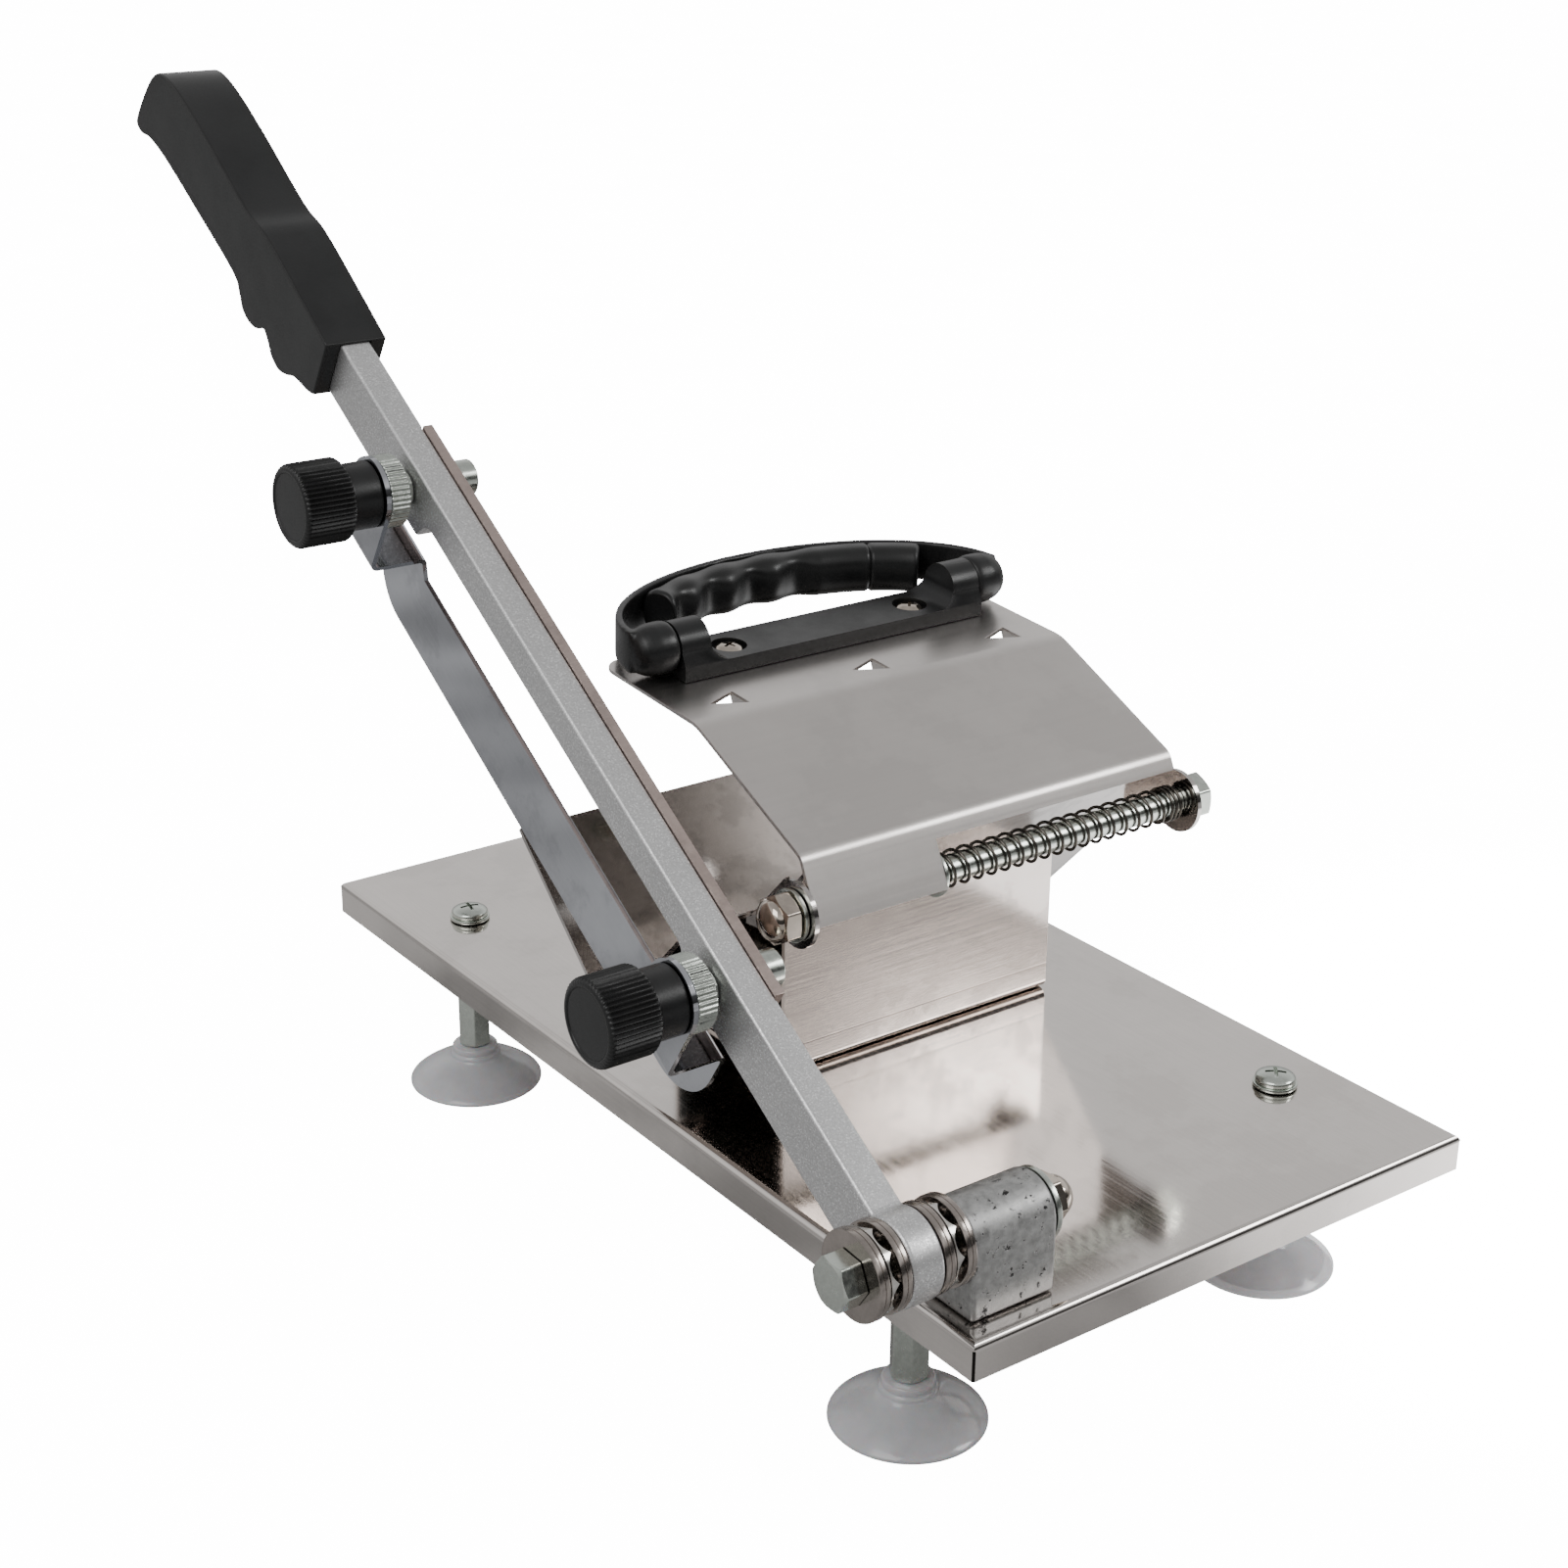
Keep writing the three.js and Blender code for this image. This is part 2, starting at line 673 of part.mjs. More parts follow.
function capNut(flats, axis, base, height, domeRadius, rise, bore, centre, side) {
  const end = base + side * height;
  const body = hexHead(flats, axis, Math.min(base, end), Math.max(base, end), centre, [true, true]);
  const profile = domeProfile(domeRadius, 0, rise).map(([radius, up]) => [radius, end + side * up]);
  const foot = [0, end - side * (height / 2)];
  const rim = [domeRadius, end - side * (height / 2)];
  const dome = side > 0 ? [foot, rim, ...profile] : [...profile.reverse(), rim, foot];
  const depth = base + side * (height + rise / 2);
  const drill = cylinder(
    bore,
    axis,
    Math.min(base - side * OVERRUN, depth),
    Math.max(base - side * OVERRUN, depth),
    centre,
  );
  return cut(join(body, turned(dome, axis, centre)), drill);
}

const BOLT_TIP = BOLT_NUT_RIGHT + BOLT_DOME_HEIGHT / 4;

piece(model, "pivot_block", castBlock, pivotBlock());
BLOCK_SCREW_PLACES.forEach((place, i) => {
  const body = panScrew(
    place,
    BLOCK_SCREW_RADIUS,
    BLOCK_SCREW_HEAD_RADIUS,
    BLOCK_SCREW_HEAD_HEIGHT,
    BLOCK_SCREW_REACH,
  );
  piece(model, `block_screw_${i + 1}`, zinc, body);
});
piece(
  model,
  "pivot_bolt",
  zinc,
  join(
    hexHead(BOLT_FLATS, "x", BOLT_SEAT - BOLT_HEAD_HEIGHT, BOLT_SEAT, PIVOT, [true, false]),
    cylinder(BOLT_RADIUS, "x", BOLT_SEAT - BOLT_HEAD_HEIGHT / 2, BOLT_TIP, PIVOT),
  ),
);
piece(
  model,
  "pivot_washer",
  zinc,
  ring(BOLT_BORE, BOLT_WASHER_RADIUS, "x", BOLT_WASHER_LEFT, BOLT_WASHER_LEFT + BOLT_WASHER_SHEET, PIVOT),
);
piece(
  model,
  "pivot_cap_nut",
  chrome,
  capNut(
    BOLT_FLATS,
    "x",
    BOLT_NUT_LEFT,
    BOLT_NUT_HEIGHT,
    BOLT_FLATS / 2 - SEAT,
    BOLT_DOME_HEIGHT,
    BOLT_BORE,
    PIVOT,
    1,
  ),
);

function bearingCage(left) {
  const middle = left + BEARING_CAGE / 2;
  const ballRadius = BEARING_CAGE / 2;
  const trackRadius = (BOLT_BORE + BEARING_RADIUS) / 2;
  const plate = ring(
    BOLT_BORE + SEAT,
    BEARING_RADIUS - SEAT,
    "x",
    middle - ballRadius / 2,
    middle + ballRadius / 2,
    PIVOT,
  );
  const balls = Array.from({ length: BEARING_BALLS }, (_, i) => {
    const angle = (2 * Math.PI * i) / BEARING_BALLS;
    const ball = new THREE.SphereGeometry(ballRadius, BALL_SIDES, BALL_RINGS);
    ball.translate(
      middle,
      PIVOT_Y + trackRadius * Math.cos(angle),
      PIVOT_Z + trackRadius * Math.sin(angle),
    );
    return solid(ball);
  });
  return join(plate, ...balls);
}

function bearing(number, left) {
  const race = (from) =>
    ring(BOLT_BORE, BEARING_RADIUS, "x", from, from + BEARING_RACE, PIVOT, BEARING_RACE_CHAMFER);
  const cageLeft = left + BEARING_RACE + SEAT;
  piece(model, `bearing_${number}_race_left`, raceSteel, race(left));
  piece(model, `bearing_${number}_cage`, zinc, bearingCage(cageLeft));
  piece(model, `bearing_${number}_race_right`, raceSteel, race(cageLeft + BEARING_CAGE + SEAT));
}

bearing(1, BEARING_LEFT_END - BEARING_WIDTH);
bearing(2, BEARING_RIGHT_END - BEARING_WIDTH);

// Lever group: its own y runs along the lever and its own z runs square to it
const lever = new THREE.Group();
lever.position.set(...PIVOT);
lever.rotation.x = THREE.MathUtils.degToRad(LEVER_ANGLE);
model.add(lever);

const LEVER_BOTTOM = LEVER_TOP - LEVER_DEPTH;
const BLADE_END = BLADE_START + BLADE_LENGTH;
const LEVER_SHOULDER = BLADE_END + LEVER_NECK;
const TANG_END = LEVER_SHOULDER + TANG_LENGTH;
const STUD_FIRST = BLADE_START + STUD_INSET;
const STUD_LAST = BLADE_END - STUD_INSET;
const STUD_PLACES = [STUD_FIRST, STUD_LAST];
const GAUGE_HALF_TAB = GAUGE_TAB_WIDTH / 2;
const BLADE_LEFT = LEVER_RIGHT - BLADE_REBATE + SEAT;
const BLADE_RIGHT = BLADE_LEFT + BLADE_THICKNESS;
const ORIGIN = [0, 0, 0];

function studBores(radius, from, to) {
  return STUD_PLACES.map((s) => cylinder(radius, "x", from, to, [0, s, -STUD_DROP]));
}

function leverArm() {
  const reliefFrom = STUD_FIRST + GAUGE_HALF_TAB;
  const reliefTo = STUD_LAST - GAUGE_HALF_TAB;
  const relieved = LEVER_BOTTOM + LEVER_RELIEF_DEPTH;
  const outline = rounded([
    [0, LEVER_BOTTOM],
    [reliefFrom, LEVER_BOTTOM, LEVER_RELIEF_BEND / 2],
    [reliefFrom + LEVER_RELIEF_DEPTH / 2, relieved, LEVER_RELIEF_BEND],
    [reliefTo - LEVER_RELIEF_DEPTH / 2, relieved, LEVER_RELIEF_BEND],
    [reliefTo, LEVER_BOTTOM, LEVER_RELIEF_BEND / 2],
    [LEVER_SHOULDER, LEVER_BOTTOM],
    [LEVER_SHOULDER, LEVER_BOTTOM + TANG_INSET],
    [TANG_END, LEVER_BOTTOM + TANG_INSET],
    [TANG_END, LEVER_TOP - TANG_INSET],
    [LEVER_SHOULDER, LEVER_TOP - TANG_INSET],
    [LEVER_SHOULDER, LEVER_TOP],
    [0, LEVER_TOP],
  ]);
  const bar = extrude(outline, "x", LEVER_LEFT, LEVER_RIGHT);
  const eye = cylinder(LEVER_EYE_RADIUS, "x", LEVER_LEFT, LEVER_RIGHT, ORIGIN, FINE_SIDES);
  const bore = cylinder(BOLT_BORE, "x", LEVER_LEFT - OVERRUN, LEVER_RIGHT + OVERRUN, ORIGIN);
  const rebate = block(
    [LEVER_RIGHT - BLADE_REBATE, LEVER_RIGHT + OVERRUN],
    [BLADE_START - OVERRUN, BLADE_END + OVERRUN],
    [LEVER_BOTTOM - OVERRUN, LEVER_TOP + OVERRUN],
  );
  const bores = studBores(STUD_RADIUS + RUN, LEVER_LEFT - OVERRUN, LEVER_RIGHT + OVERRUN);
  return cut(join(bar, eye), bore, rebate, ...bores);
}

// The blade is ground to its cutting edge on the side away from the trough.
function blade() {
  const spine = LEVER_TOP + BLADE_RISE;
  const edge = spine - BLADE_HEIGHT;
  const section = [
    new THREE.Vector2(spine, BLADE_LEFT),
    new THREE.Vector2(edge + BLADE_BEVEL, BLADE_LEFT),
    new THREE.Vector2(edge, BLADE_RIGHT - BLADE_EDGE),
    new THREE.Vector2(edge, BLADE_RIGHT),
    new THREE.Vector2(spine, BLADE_RIGHT),
  ];
  const body = extrude(section, "y", BLADE_START, BLADE_END);
  return cut(body, ...studBores(STUD_RADIUS + RUN, BLADE_LEFT - OVERRUN, BLADE_RIGHT + OVERRUN));
}

const STUD_HEAD_LEFT = BLADE_RIGHT + SEAT;
const STUD_TIP = STUD_HEAD_LEFT - STUD_LENGTH;

function bladeStud(s) {
  const centre = [0, s, -STUD_DROP];
  const rightEnd = STUD_HEAD_LEFT + STUD_HEAD_LENGTH;
  const head = turned(
    [
      [0, STUD_HEAD_LEFT],
      [STUD_HEAD_RADIUS, STUD_HEAD_LEFT],
      [STUD_HEAD_RADIUS, rightEnd - SEAT],
      [STUD_HEAD_RADIUS - SEAT, rightEnd],
      [0, rightEnd],
    ],
    "x",
    centre,
  );
  return join(head, cylinder(STUD_RADIUS, "x", STUD_TIP, STUD_HEAD_LEFT + OVERRUN, centre));
}

function boredHexagon(flats, axis, from, to, bore, centre) {
  const drill = cylinder(bore, axis, from - OVERRUN, to + OVERRUN, centre);
  return cut(hexagon(flats, axis, from, to, centre), drill);
}

// Grip outline along the lever: distances from its start and below its top, as shares of length and height
const GRIP_SHARES = [
  [0.0, -0.05],
  [0.13, 0.0],
  [0.33, 0.06],
  [0.44, -0.01],
  [0.67, 0.05],
  [0.83, 0.05],
  [0.92, -0.05],
  [0.962, -0.26],
  [0.985, -0.6],
  [1.0, -1.0],
  [0.994, -1.12],
  [0.965, -1.13],
  [0.92, -1.03],
  [0.83, -0.97],
  [0.66, -0.96],
  [0.44, -0.965],
  [0.39, -1.08],
  [0.36, -1.21],
  [0.32, -1.23],
  [0.285, -1.16],
  [0.258, -1.03],
  [0.225, -1.1],
  [0.2, -1.19],
  [0.16, -1.21],
  [0.125, -1.12],
  [0.09, -0.99],
  [0.03, -0.9],
  [0.0, -0.82],
];

const LEVER_MIDDLE = (LEVER_LEFT + LEVER_RIGHT) / 2;
const GRIP_START = LEVER_SHOULDER - GRIP_OVERLAP;
const GRIP_TOP = LEVER_TOP + GRIP_RISE;

function leverGrip() {
  const outline = GRIP_SHARES.map(
    ([along, up]) => new THREE.Vector2(GRIP_START + GRIP_LENGTH * along, GRIP_TOP + GRIP_HEIGHT * up),
  );
  const half = GRIP_WIDTH / 2;
  const body = extrude(outline, "x", LEVER_MIDDLE - half, LEVER_MIDDLE + half, GRIP_ROUNDING);
  const across = [LEVER_LEFT - SEAT, LEVER_RIGHT + SEAT];
  const mouth = block(
    across,
    [GRIP_START - OVERRUN, LEVER_SHOULDER + SEAT],
    [LEVER_BOTTOM - SEAT, LEVER_TOP + SEAT],
  );
  const pocket = block(
    across,
    [LEVER_SHOULDER, TANG_END + SEAT],
    [LEVER_BOTTOM + TANG_INSET - SEAT, LEVER_TOP - TANG_INSET + SEAT],
  );
  return cut(body, mouth, pocket);
}

piece(lever, "lever_arm", castAluminium, leverArm());
piece(lever, "lever_grip", blackPlastic, leverGrip());
piece(lever, "blade", bladeSteel, blade());
STUD_PLACES.forEach((s, i) => {
  const nutRight = LEVER_LEFT - SEAT;
  const centre = [0, s, -STUD_DROP];
  const nut = boredHexagon(
    STUD_NUT_FLATS,
    "x",
    nutRight - STUD_NUT_HEIGHT,
    nutRight,
    STUD_RADIUS + RUN,
    centre,
  );
  piece(lever, `blade_stud_${i + 1}`, zinc, bladeStud(s));
  piece(lever, `stud_nut_${i + 1}`, zinc, nut);
});

// Slice gauge: tabs on the studs, shelves under the lever and a band beside the blade
const GAUGE_FROM = STUD_FIRST - GAUGE_HALF_TAB;
const GAUGE_TO = STUD_LAST + GAUGE_HALF_TAB;
const TAB_LINE = -GAUGE_TAB_LEFT + GAUGE_SHEET / 2;
const STRIP_LINE = -GAUGE_STRIP_LEFT + GAUGE_SHEET / 2;
const SHELF_LINE = -GAUGE_SHELF_DROP + GAUGE_SHEET / 2;

function gaugePlate() {
  const section = bentSheet(
    [
      [GAUGE_HALF_TAB, TAB_LINE],
      [SHELF_LINE, TAB_LINE],
      [SHELF_LINE, STRIP_LINE],
      [-GAUGE_STRIP_BOTTOM, STRIP_LINE],
    ],
    GAUGE_SHEET,
    [GAUGE_BEND, GAUGE_BEND],
  );
  const bent = extrude(section, "y", GAUGE_FROM, GAUGE_TO);
  const left = TAB_LINE - OVERRUN - GAUGE_SHEET;
  const right = STRIP_LINE + OVERRUN + GAUGE_SHEET;
  const split = SHELF_LINE - GAUGE_SHEET - GAUGE_BEND;
  const tabs = STUD_PLACES.map((s) => {
    const outline = rounded([
      [s - GAUGE_HALF_TAB, split],
      [s + GAUGE_HALF_TAB, split],
      [s + GAUGE_HALF_TAB, GAUGE_HALF_TAB - STUD_DROP, GAUGE_HALF_TAB - RUN],
      [s - GAUGE_HALF_TAB, GAUGE_HALF_TAB - STUD_DROP, GAUGE_HALF_TAB - RUN],
    ]);
    return extrude(outline, "x", left, right);
  });
  const band = rounded([
    [GAUGE_FROM, split + OVERRUN],
    [GAUGE_FROM, -GAUGE_STRIP_BOTTOM, GAUGE_END_RADIUS],
    [GAUGE_TO, -GAUGE_STRIP_BOTTOM, GAUGE_END_RADIUS],
    [GAUGE_TO, split + OVERRUN],
    [GAUGE_TO - GAUGE_TAB_WIDTH, split + OVERRUN],
    [GAUGE_TO - GAUGE_TAB_WIDTH - GAUGE_NECK_RADIUS / 2, -GAUGE_STRIP_TOP],
    [GAUGE_FROM + GAUGE_TAB_WIDTH + GAUGE_NECK_RADIUS / 2, -GAUGE_STRIP_TOP],
    [GAUGE_FROM + GAUGE_TAB_WIDTH, split + OVERRUN],
  ]);
  const mask = join(extrude(band, "x", left, right), ...tabs);
  return cut(bent.intersect(mask), ...studBores(STUD_RADIUS + RUN, left, TAB_LINE + OVERRUN));
}

const KNURL_LEFT = TAB_LINE + GAUGE_SHEET / 2 + SEAT;
const KNOB_RIGHT = TAB_LINE - GAUGE_SHEET / 2 - SEAT;

function knurledNut(s) {
  const outline = shifted(toothed(KNURL_RADIUS, KNURL_DEPTH, KNURL_TEETH), s, -STUD_DROP);
  const body = extrude(outline, "x", KNURL_LEFT, KNURL_LEFT + KNURL_LENGTH);
  const centre = [0, s, -STUD_DROP];
  const drill = cylinder(
    STUD_RADIUS + RUN,
    "x",
    KNURL_LEFT - OVERRUN,
    KNURL_LEFT + KNURL_LENGTH + OVERRUN,
    centre,
  );
  return cut(body, drill);
}

function gaugeKnob(s) {
  const centre = [0, s, -STUD_DROP];
  const collarLeft = KNOB_RIGHT - KNOB_COLLAR_LENGTH;
  const capLeft = collarLeft - KNOB_CAP_LENGTH;
  const collar = cylinder(KNOB_COLLAR_RADIUS, "x", collarLeft - OVERRUN, KNOB_RIGHT, centre);
  const outline = shifted(toothed(KNOB_RADIUS, KNOB_FLUTE_DEPTH, KNOB_FLUTES), s, -STUD_DROP);
  const cap = extrude(outline, "x", capLeft, collarLeft);
  const drill = cylinder(STUD_RADIUS + RUN, "x", capLeft + KNOB_END_WALL, KNOB_RIGHT + OVERRUN, centre);
  return cut(join(collar, cap), drill);
}

piece(lever, "gauge_plate", mirrorSteel, gaugePlate());
STUD_PLACES.forEach((s, i) => {
  piece(lever, `knurled_nut_${i + 1}`, zinc, knurledNut(s));
  piece(lever, `gauge_knob_${i + 1}`, blackPlastic, gaugeKnob(s));
});

// Trough: a sheet bent to a V, with two ears that hold the guide rod
const ROD = [0, ROD_Y, ROD_Z];
const EAR_RIGHT_LEFT = TROUGH_RIGHT - TROUGH_SHEET;
const FRONT_RUN_Y = TROUGH_BOTTOM_Y - TROUGH_FRONT_Y;
const FRONT_RUN_Z = TROUGH_BOTTOM_Z - TROUGH_FRONT_Z;

// Point on the middle of the front wall at a place along the base
function frontWall(y) {
  return [y, TROUGH_FRONT_Z + (FRONT_RUN_Z * (y - TROUGH_FRONT_Y)) / FRONT_RUN_Y];
}

function ear(left) {
  const upper = THREE.MathUtils.degToRad(EAR_UPPER_ANGLE);
  const lower = THREE.MathUtils.degToRad(EAR_LOWER_ANGLE);
  const onEdge = (angle) => [ROD_Y + EAR_RADIUS * Math.cos(angle), ROD_Z + EAR_RADIUS * Math.sin(angle)];
  const web = [
    frontWall(TROUGH_FRONT_Y),
    onEdge(upper),
    [ROD_Y, ROD_Z],
    onEdge(lower),
    frontWall(TROUGH_FRONT_Y + 2 * EAR_RADIUS),
  ].map(([y, z]) => new THREE.Vector2(y, z));
  const disc = cylinder(EAR_RADIUS, "x", left, left + TROUGH_SHEET, ROD);
  return join(disc, extrude(web, "x", left, left + TROUGH_SHEET));
}

function trough() {
  const section = bentSheet(
    [
      [TROUGH_FRONT_Y, TROUGH_FRONT_Z],
      [TROUGH_BOTTOM_Y, TROUGH_BOTTOM_Z],
      [TROUGH_REAR_Y, TROUGH_REAR_Z],
    ],
    TROUGH_SHEET,
    [TROUGH_BEND],
  );
  const sheet = extrude(section, "x", TROUGH_LEFT, TROUGH_RIGHT);
  const [lowY, lowZ] = frontWall(TROUGH_LOW_EDGE_Y);
  const corner = block(
    [TROUGH_LEFT - OVERRUN, TONGUE_LEFT],
    [TROUGH_FRONT_Y - 2 * OVERRUN, lowY],
    [lowZ, TROUGH_FRONT_Z + 2 * OVERRUN],
  );
  const bore = cylinder(ROD_RADIUS + RUN, "x", EAR_LEFT - OVERRUN, TROUGH_RIGHT + OVERRUN, ROD);
  return cut(join(cut(sheet, corner), ear(EAR_LEFT), ear(EAR_RIGHT_LEFT)), bore);
}

// Bracket: an upright channel whose walls reach the two sides of the V
function troughBracket() {
  const back = BRACKET_FRONT_Y + BRACKET_DEPTH;
  const half = BRACKET_SHEET / 2;
  const tall = Math.max(TROUGH_FRONT_Z, TROUGH_REAR_Z);
  const section = bentSheet(
    [
      [BRACKET_FRONT_Y + half, tall],
      [BRACKET_FRONT_Y + half, SEAT + half],
      [back - half, SEAT + half],
      [back - half, tall],
    ],
    BRACKET_SHEET,
    [BRACKET_BEND, BRACKET_BEND],
  );
  const channel = extrude(section, "x", BRACKET_LEFT, BRACKET_RIGHT);
  const drop = TROUGH_SHEET + SEAT;
  const vee = [
    [TROUGH_FRONT_Y, TROUGH_FRONT_Z - drop],
    [TROUGH_BOTTOM_Y, TROUGH_BOTTOM_Z - drop],
    [TROUGH_REAR_Y, TROUGH_REAR_Z - drop],
    [TROUGH_REAR_Y, tall + drop],
    [TROUGH_FRONT_Y, tall + drop],
  ].map(([y, z]) => new THREE.Vector2(y, z));
  const space = extrude(vee, "x", BRACKET_LEFT - OVERRUN, BRACKET_RIGHT + OVERRUN);
  const holes = BRACKET_SCREW_PLACES.map((place) =>
    hole(BRACKET_SCREW_RADIUS, place, -OVERRUN, SEAT + BRACKET_SHEET + OVERRUN),
  );
  return cut(channel, space, ...holes);
}

piece(model, "trough", mirrorSteel, trough());
piece(model, "trough_bracket", satinSteel, troughBracket());
BRACKET_SCREW_PLACES.forEach((place, i) => {
  const body = panScrew(
    place,
    BRACKET_SCREW_RADIUS,
    BRACKET_SCREW_HEAD_RADIUS,
    BRACKET_SCREW_HEAD_HEIGHT,
    BRACKET_SCREW_END,
  );
  const nutFrom = 2 * SEAT + BRACKET_SHEET;
  const nut = boredHexagon(
    BRACKET_NUT_FLATS,
    "z",
    nutFrom,
    nutFrom + BRACKET_NUT_HEIGHT,
    BRACKET_SCREW_RADIUS + RUN,
    [...place, 0],
  );
  piece(model, `bracket_screw_${i + 1}`, zinc, body);
  piece(model, `bracket_nut_${i + 1}`, zinc, nut);
});

// Guide rod: a long bolt through both ears, with washers and a cap nut
const ROD_BORE = ROD_RADIUS + RUN;
const RIGHT_WASHER_LEFT = TROUGH_RIGHT + SEAT;
const ROD_HEAD_LEFT = RIGHT_WASHER_LEFT + ROD_WASHER_SHEET + SEAT;
const LEFT_WASHER_RIGHT = EAR_LEFT - SEAT;
const ROD_NUT_RIGHT = LEFT_WASHER_RIGHT - ROD_WASHER_SHEET - SEAT;
const ROD_TIP = ROD_NUT_RIGHT - ROD_NUT_HEIGHT - ROD_DOME_HEIGHT / 4;

piece(
  model,
  "guide_rod",
  zinc,
  join(
    hexHead(ROD_FLATS, "x", ROD_HEAD_LEFT, ROD_HEAD_LEFT + ROD_HEAD_HEIGHT, ROD, [false, true]),
    cylinder(ROD_RADIUS, "x", ROD_TIP, ROD_HEAD_LEFT + ROD_HEAD_HEIGHT / 2, ROD),
  ),
);
piece(
  model,
  "rod_washer_right",
  zinc,
  ring(ROD_BORE, ROD_WASHER_RADIUS, "x", RIGHT_WASHER_LEFT, RIGHT_WASHER_LEFT + ROD_WASHER_SHEET, ROD),
);
piece(
  model,
  "rod_washer_left",
  zinc,
  ring(ROD_BORE, ROD_WASHER_RADIUS, "x", LEFT_WASHER_RIGHT - ROD_WASHER_SHEET, LEFT_WASHER_RIGHT, ROD),
);
piece(
  model,
  "rod_cap_nut",
  chrome,
  capNut(
    ROD_FLATS,
    "x",
    ROD_NUT_RIGHT,
    ROD_NUT_HEIGHT,
    ROD_DOME_RADIUS,
    ROD_DOME_HEIGHT,
    ROD_BORE,
    ROD,
    -1,
  ),
);

// Carriage on the rod: sleeve of the press plate, spring washer and spring
const SLEEVE_RIGHT = SLEEVE_LEFT + SLEEVE_LENGTH;
const SPRING_WASHER_LEFT = SLEEVE_RIGHT + SEAT;
const SPRING_WASHER_RIGHT = SPRING_WASHER_LEFT + SPRING_WASHER_SHEET;
const SPRING_LEFT = SPRING_WASHER_RIGHT + SEAT;
const SPRING_RIGHT = EAR_RIGHT_LEFT - SEAT;

piece(model, "press_sleeve", zinc, ring(ROD_BORE, SLEEVE_RADIUS, "x", SLEEVE_LEFT, SLEEVE_RIGHT, ROD));
piece(
  model,
  "spring_washer",
  zinc,
  ring(ROD_BORE, SPRING_WASHER_RADIUS, "x", SPRING_WASHER_LEFT, SPRING_WASHER_RIGHT, ROD),
);

// Centre line of the spring wire: open curls, then close curls against the right ear
function springLine() {
  const reach = SPRING_RADIUS - SPRING_WIRE / 2;
  const start = SPRING_LEFT + 2 * SPRING_WIRE;
  const end = SPRING_RIGHT - 2 * SPRING_WIRE;
  const closeRun = SPRING_CLOSE_CURLS * SPRING_CLOSE_PITCH;
  const openPitch = (end - start - closeRun) / SPRING_OPEN_CURLS;
  const curls = SPRING_OPEN_CURLS + SPRING_CLOSE_CURLS;
  const point = (x, angle) =>
    new THREE.Vector3(x, ROD_Y + reach * Math.cos(angle), ROD_Z + reach * Math.sin(angle));
  const points = [point(SPRING_LEFT, 0), point(SPRING_LEFT + SPRING_WIRE, 0)];
  for (let step = 0; step <= curls * CURL_STEPS; step += 1) {
    const turns = step / CURL_STEPS;
    const open = Math.min(turns, SPRING_OPEN_CURLS);
    const close = Math.max(turns - SPRING_OPEN_CURLS, 0);
    const bend = (2 * Math.PI) / CURL_STEPS / 2;
    points.push(point(start + open * openPitch + close * SPRING_CLOSE_PITCH, 2 * Math.PI * turns + bend));
  }
  const lastAngle = (2 * Math.PI) / CURL_STEPS;
  points.push(point(SPRING_RIGHT - SPRING_WIRE, lastAngle), point(SPRING_RIGHT, lastAngle));
  return points;
}

// Least distance between stretches of the wire that aren't neighbours, less its thickness
function leastGap(points, wire) {
  const split = CURL_STEPS / 2;
  const finePoints = new THREE.CatmullRomCurve3(points).getPoints(points.length * split);
  const apart = (split * CURL_STEPS) / 2;
  let least = Infinity;
  finePoints.forEach((a, i) => {
    for (let j = i + apart; j < finePoints.length; j += 1) {
      least = Math.min(least, a.distanceTo(finePoints[j]));
    }
  });
  return least - wire;
}

// One closed tube along points, with a frame carried from ring to ring
function wireBody(points, radius, sides) {
  const positions = [];
  const index = [];
  let across = Y.clone();
  points.forEach((point, i) => {
    const from = points[Math.max(i - 1, 0)];
    const to = points[Math.min(i + 1, points.length - 1)];
    const along = to.clone().sub(from).normalize();
    across = across.sub(along.clone().multiplyScalar(across.dot(along))).normalize();
    const up = along.clone().cross(across);
    for (let side = 0; side < sides; side += 1) {
      const angle = (2 * Math.PI * side) / sides;
      const rim = point
        .clone()
        .addScaledVector(across, radius * Math.cos(angle))
        .addScaledVector(up, radius * Math.sin(angle));
      positions.push(rim.x, rim.y, rim.z);
    }
  });
  const rings = points.length;
  for (let i = 0; i < rings - 1; i += 1) {
    for (let side = 0; side < sides; side += 1) {
      const a = i * sides + side;
      const b = i * sides + ((side + 1) % sides);
      index.push(a, b, a + sides, b, b + sides, a + sides);
    }
  }
  for (let side = 1; side < sides - 1; side += 1) {
    index.push(0, side + 1, side);
    const last = (rings - 1) * sides;
    index.push(last, last + side, last + side + 1);
  }
  const geometry = new THREE.BufferGeometry();
  geometry.setAttribute("position", new THREE.Float32BufferAttribute(positions, 3));
  geometry.setIndex(index);
  return solid(geometry);
}

const springPoints = springLine();
console.log("press_spring least gap to itself", leastGap(springPoints, SPRING_WIRE).toFixed(2), "mm");
piece(model, "press_spring", springSteel, wireBody(springPoints, SPRING_WIRE / 2, WIRE_SIDES));

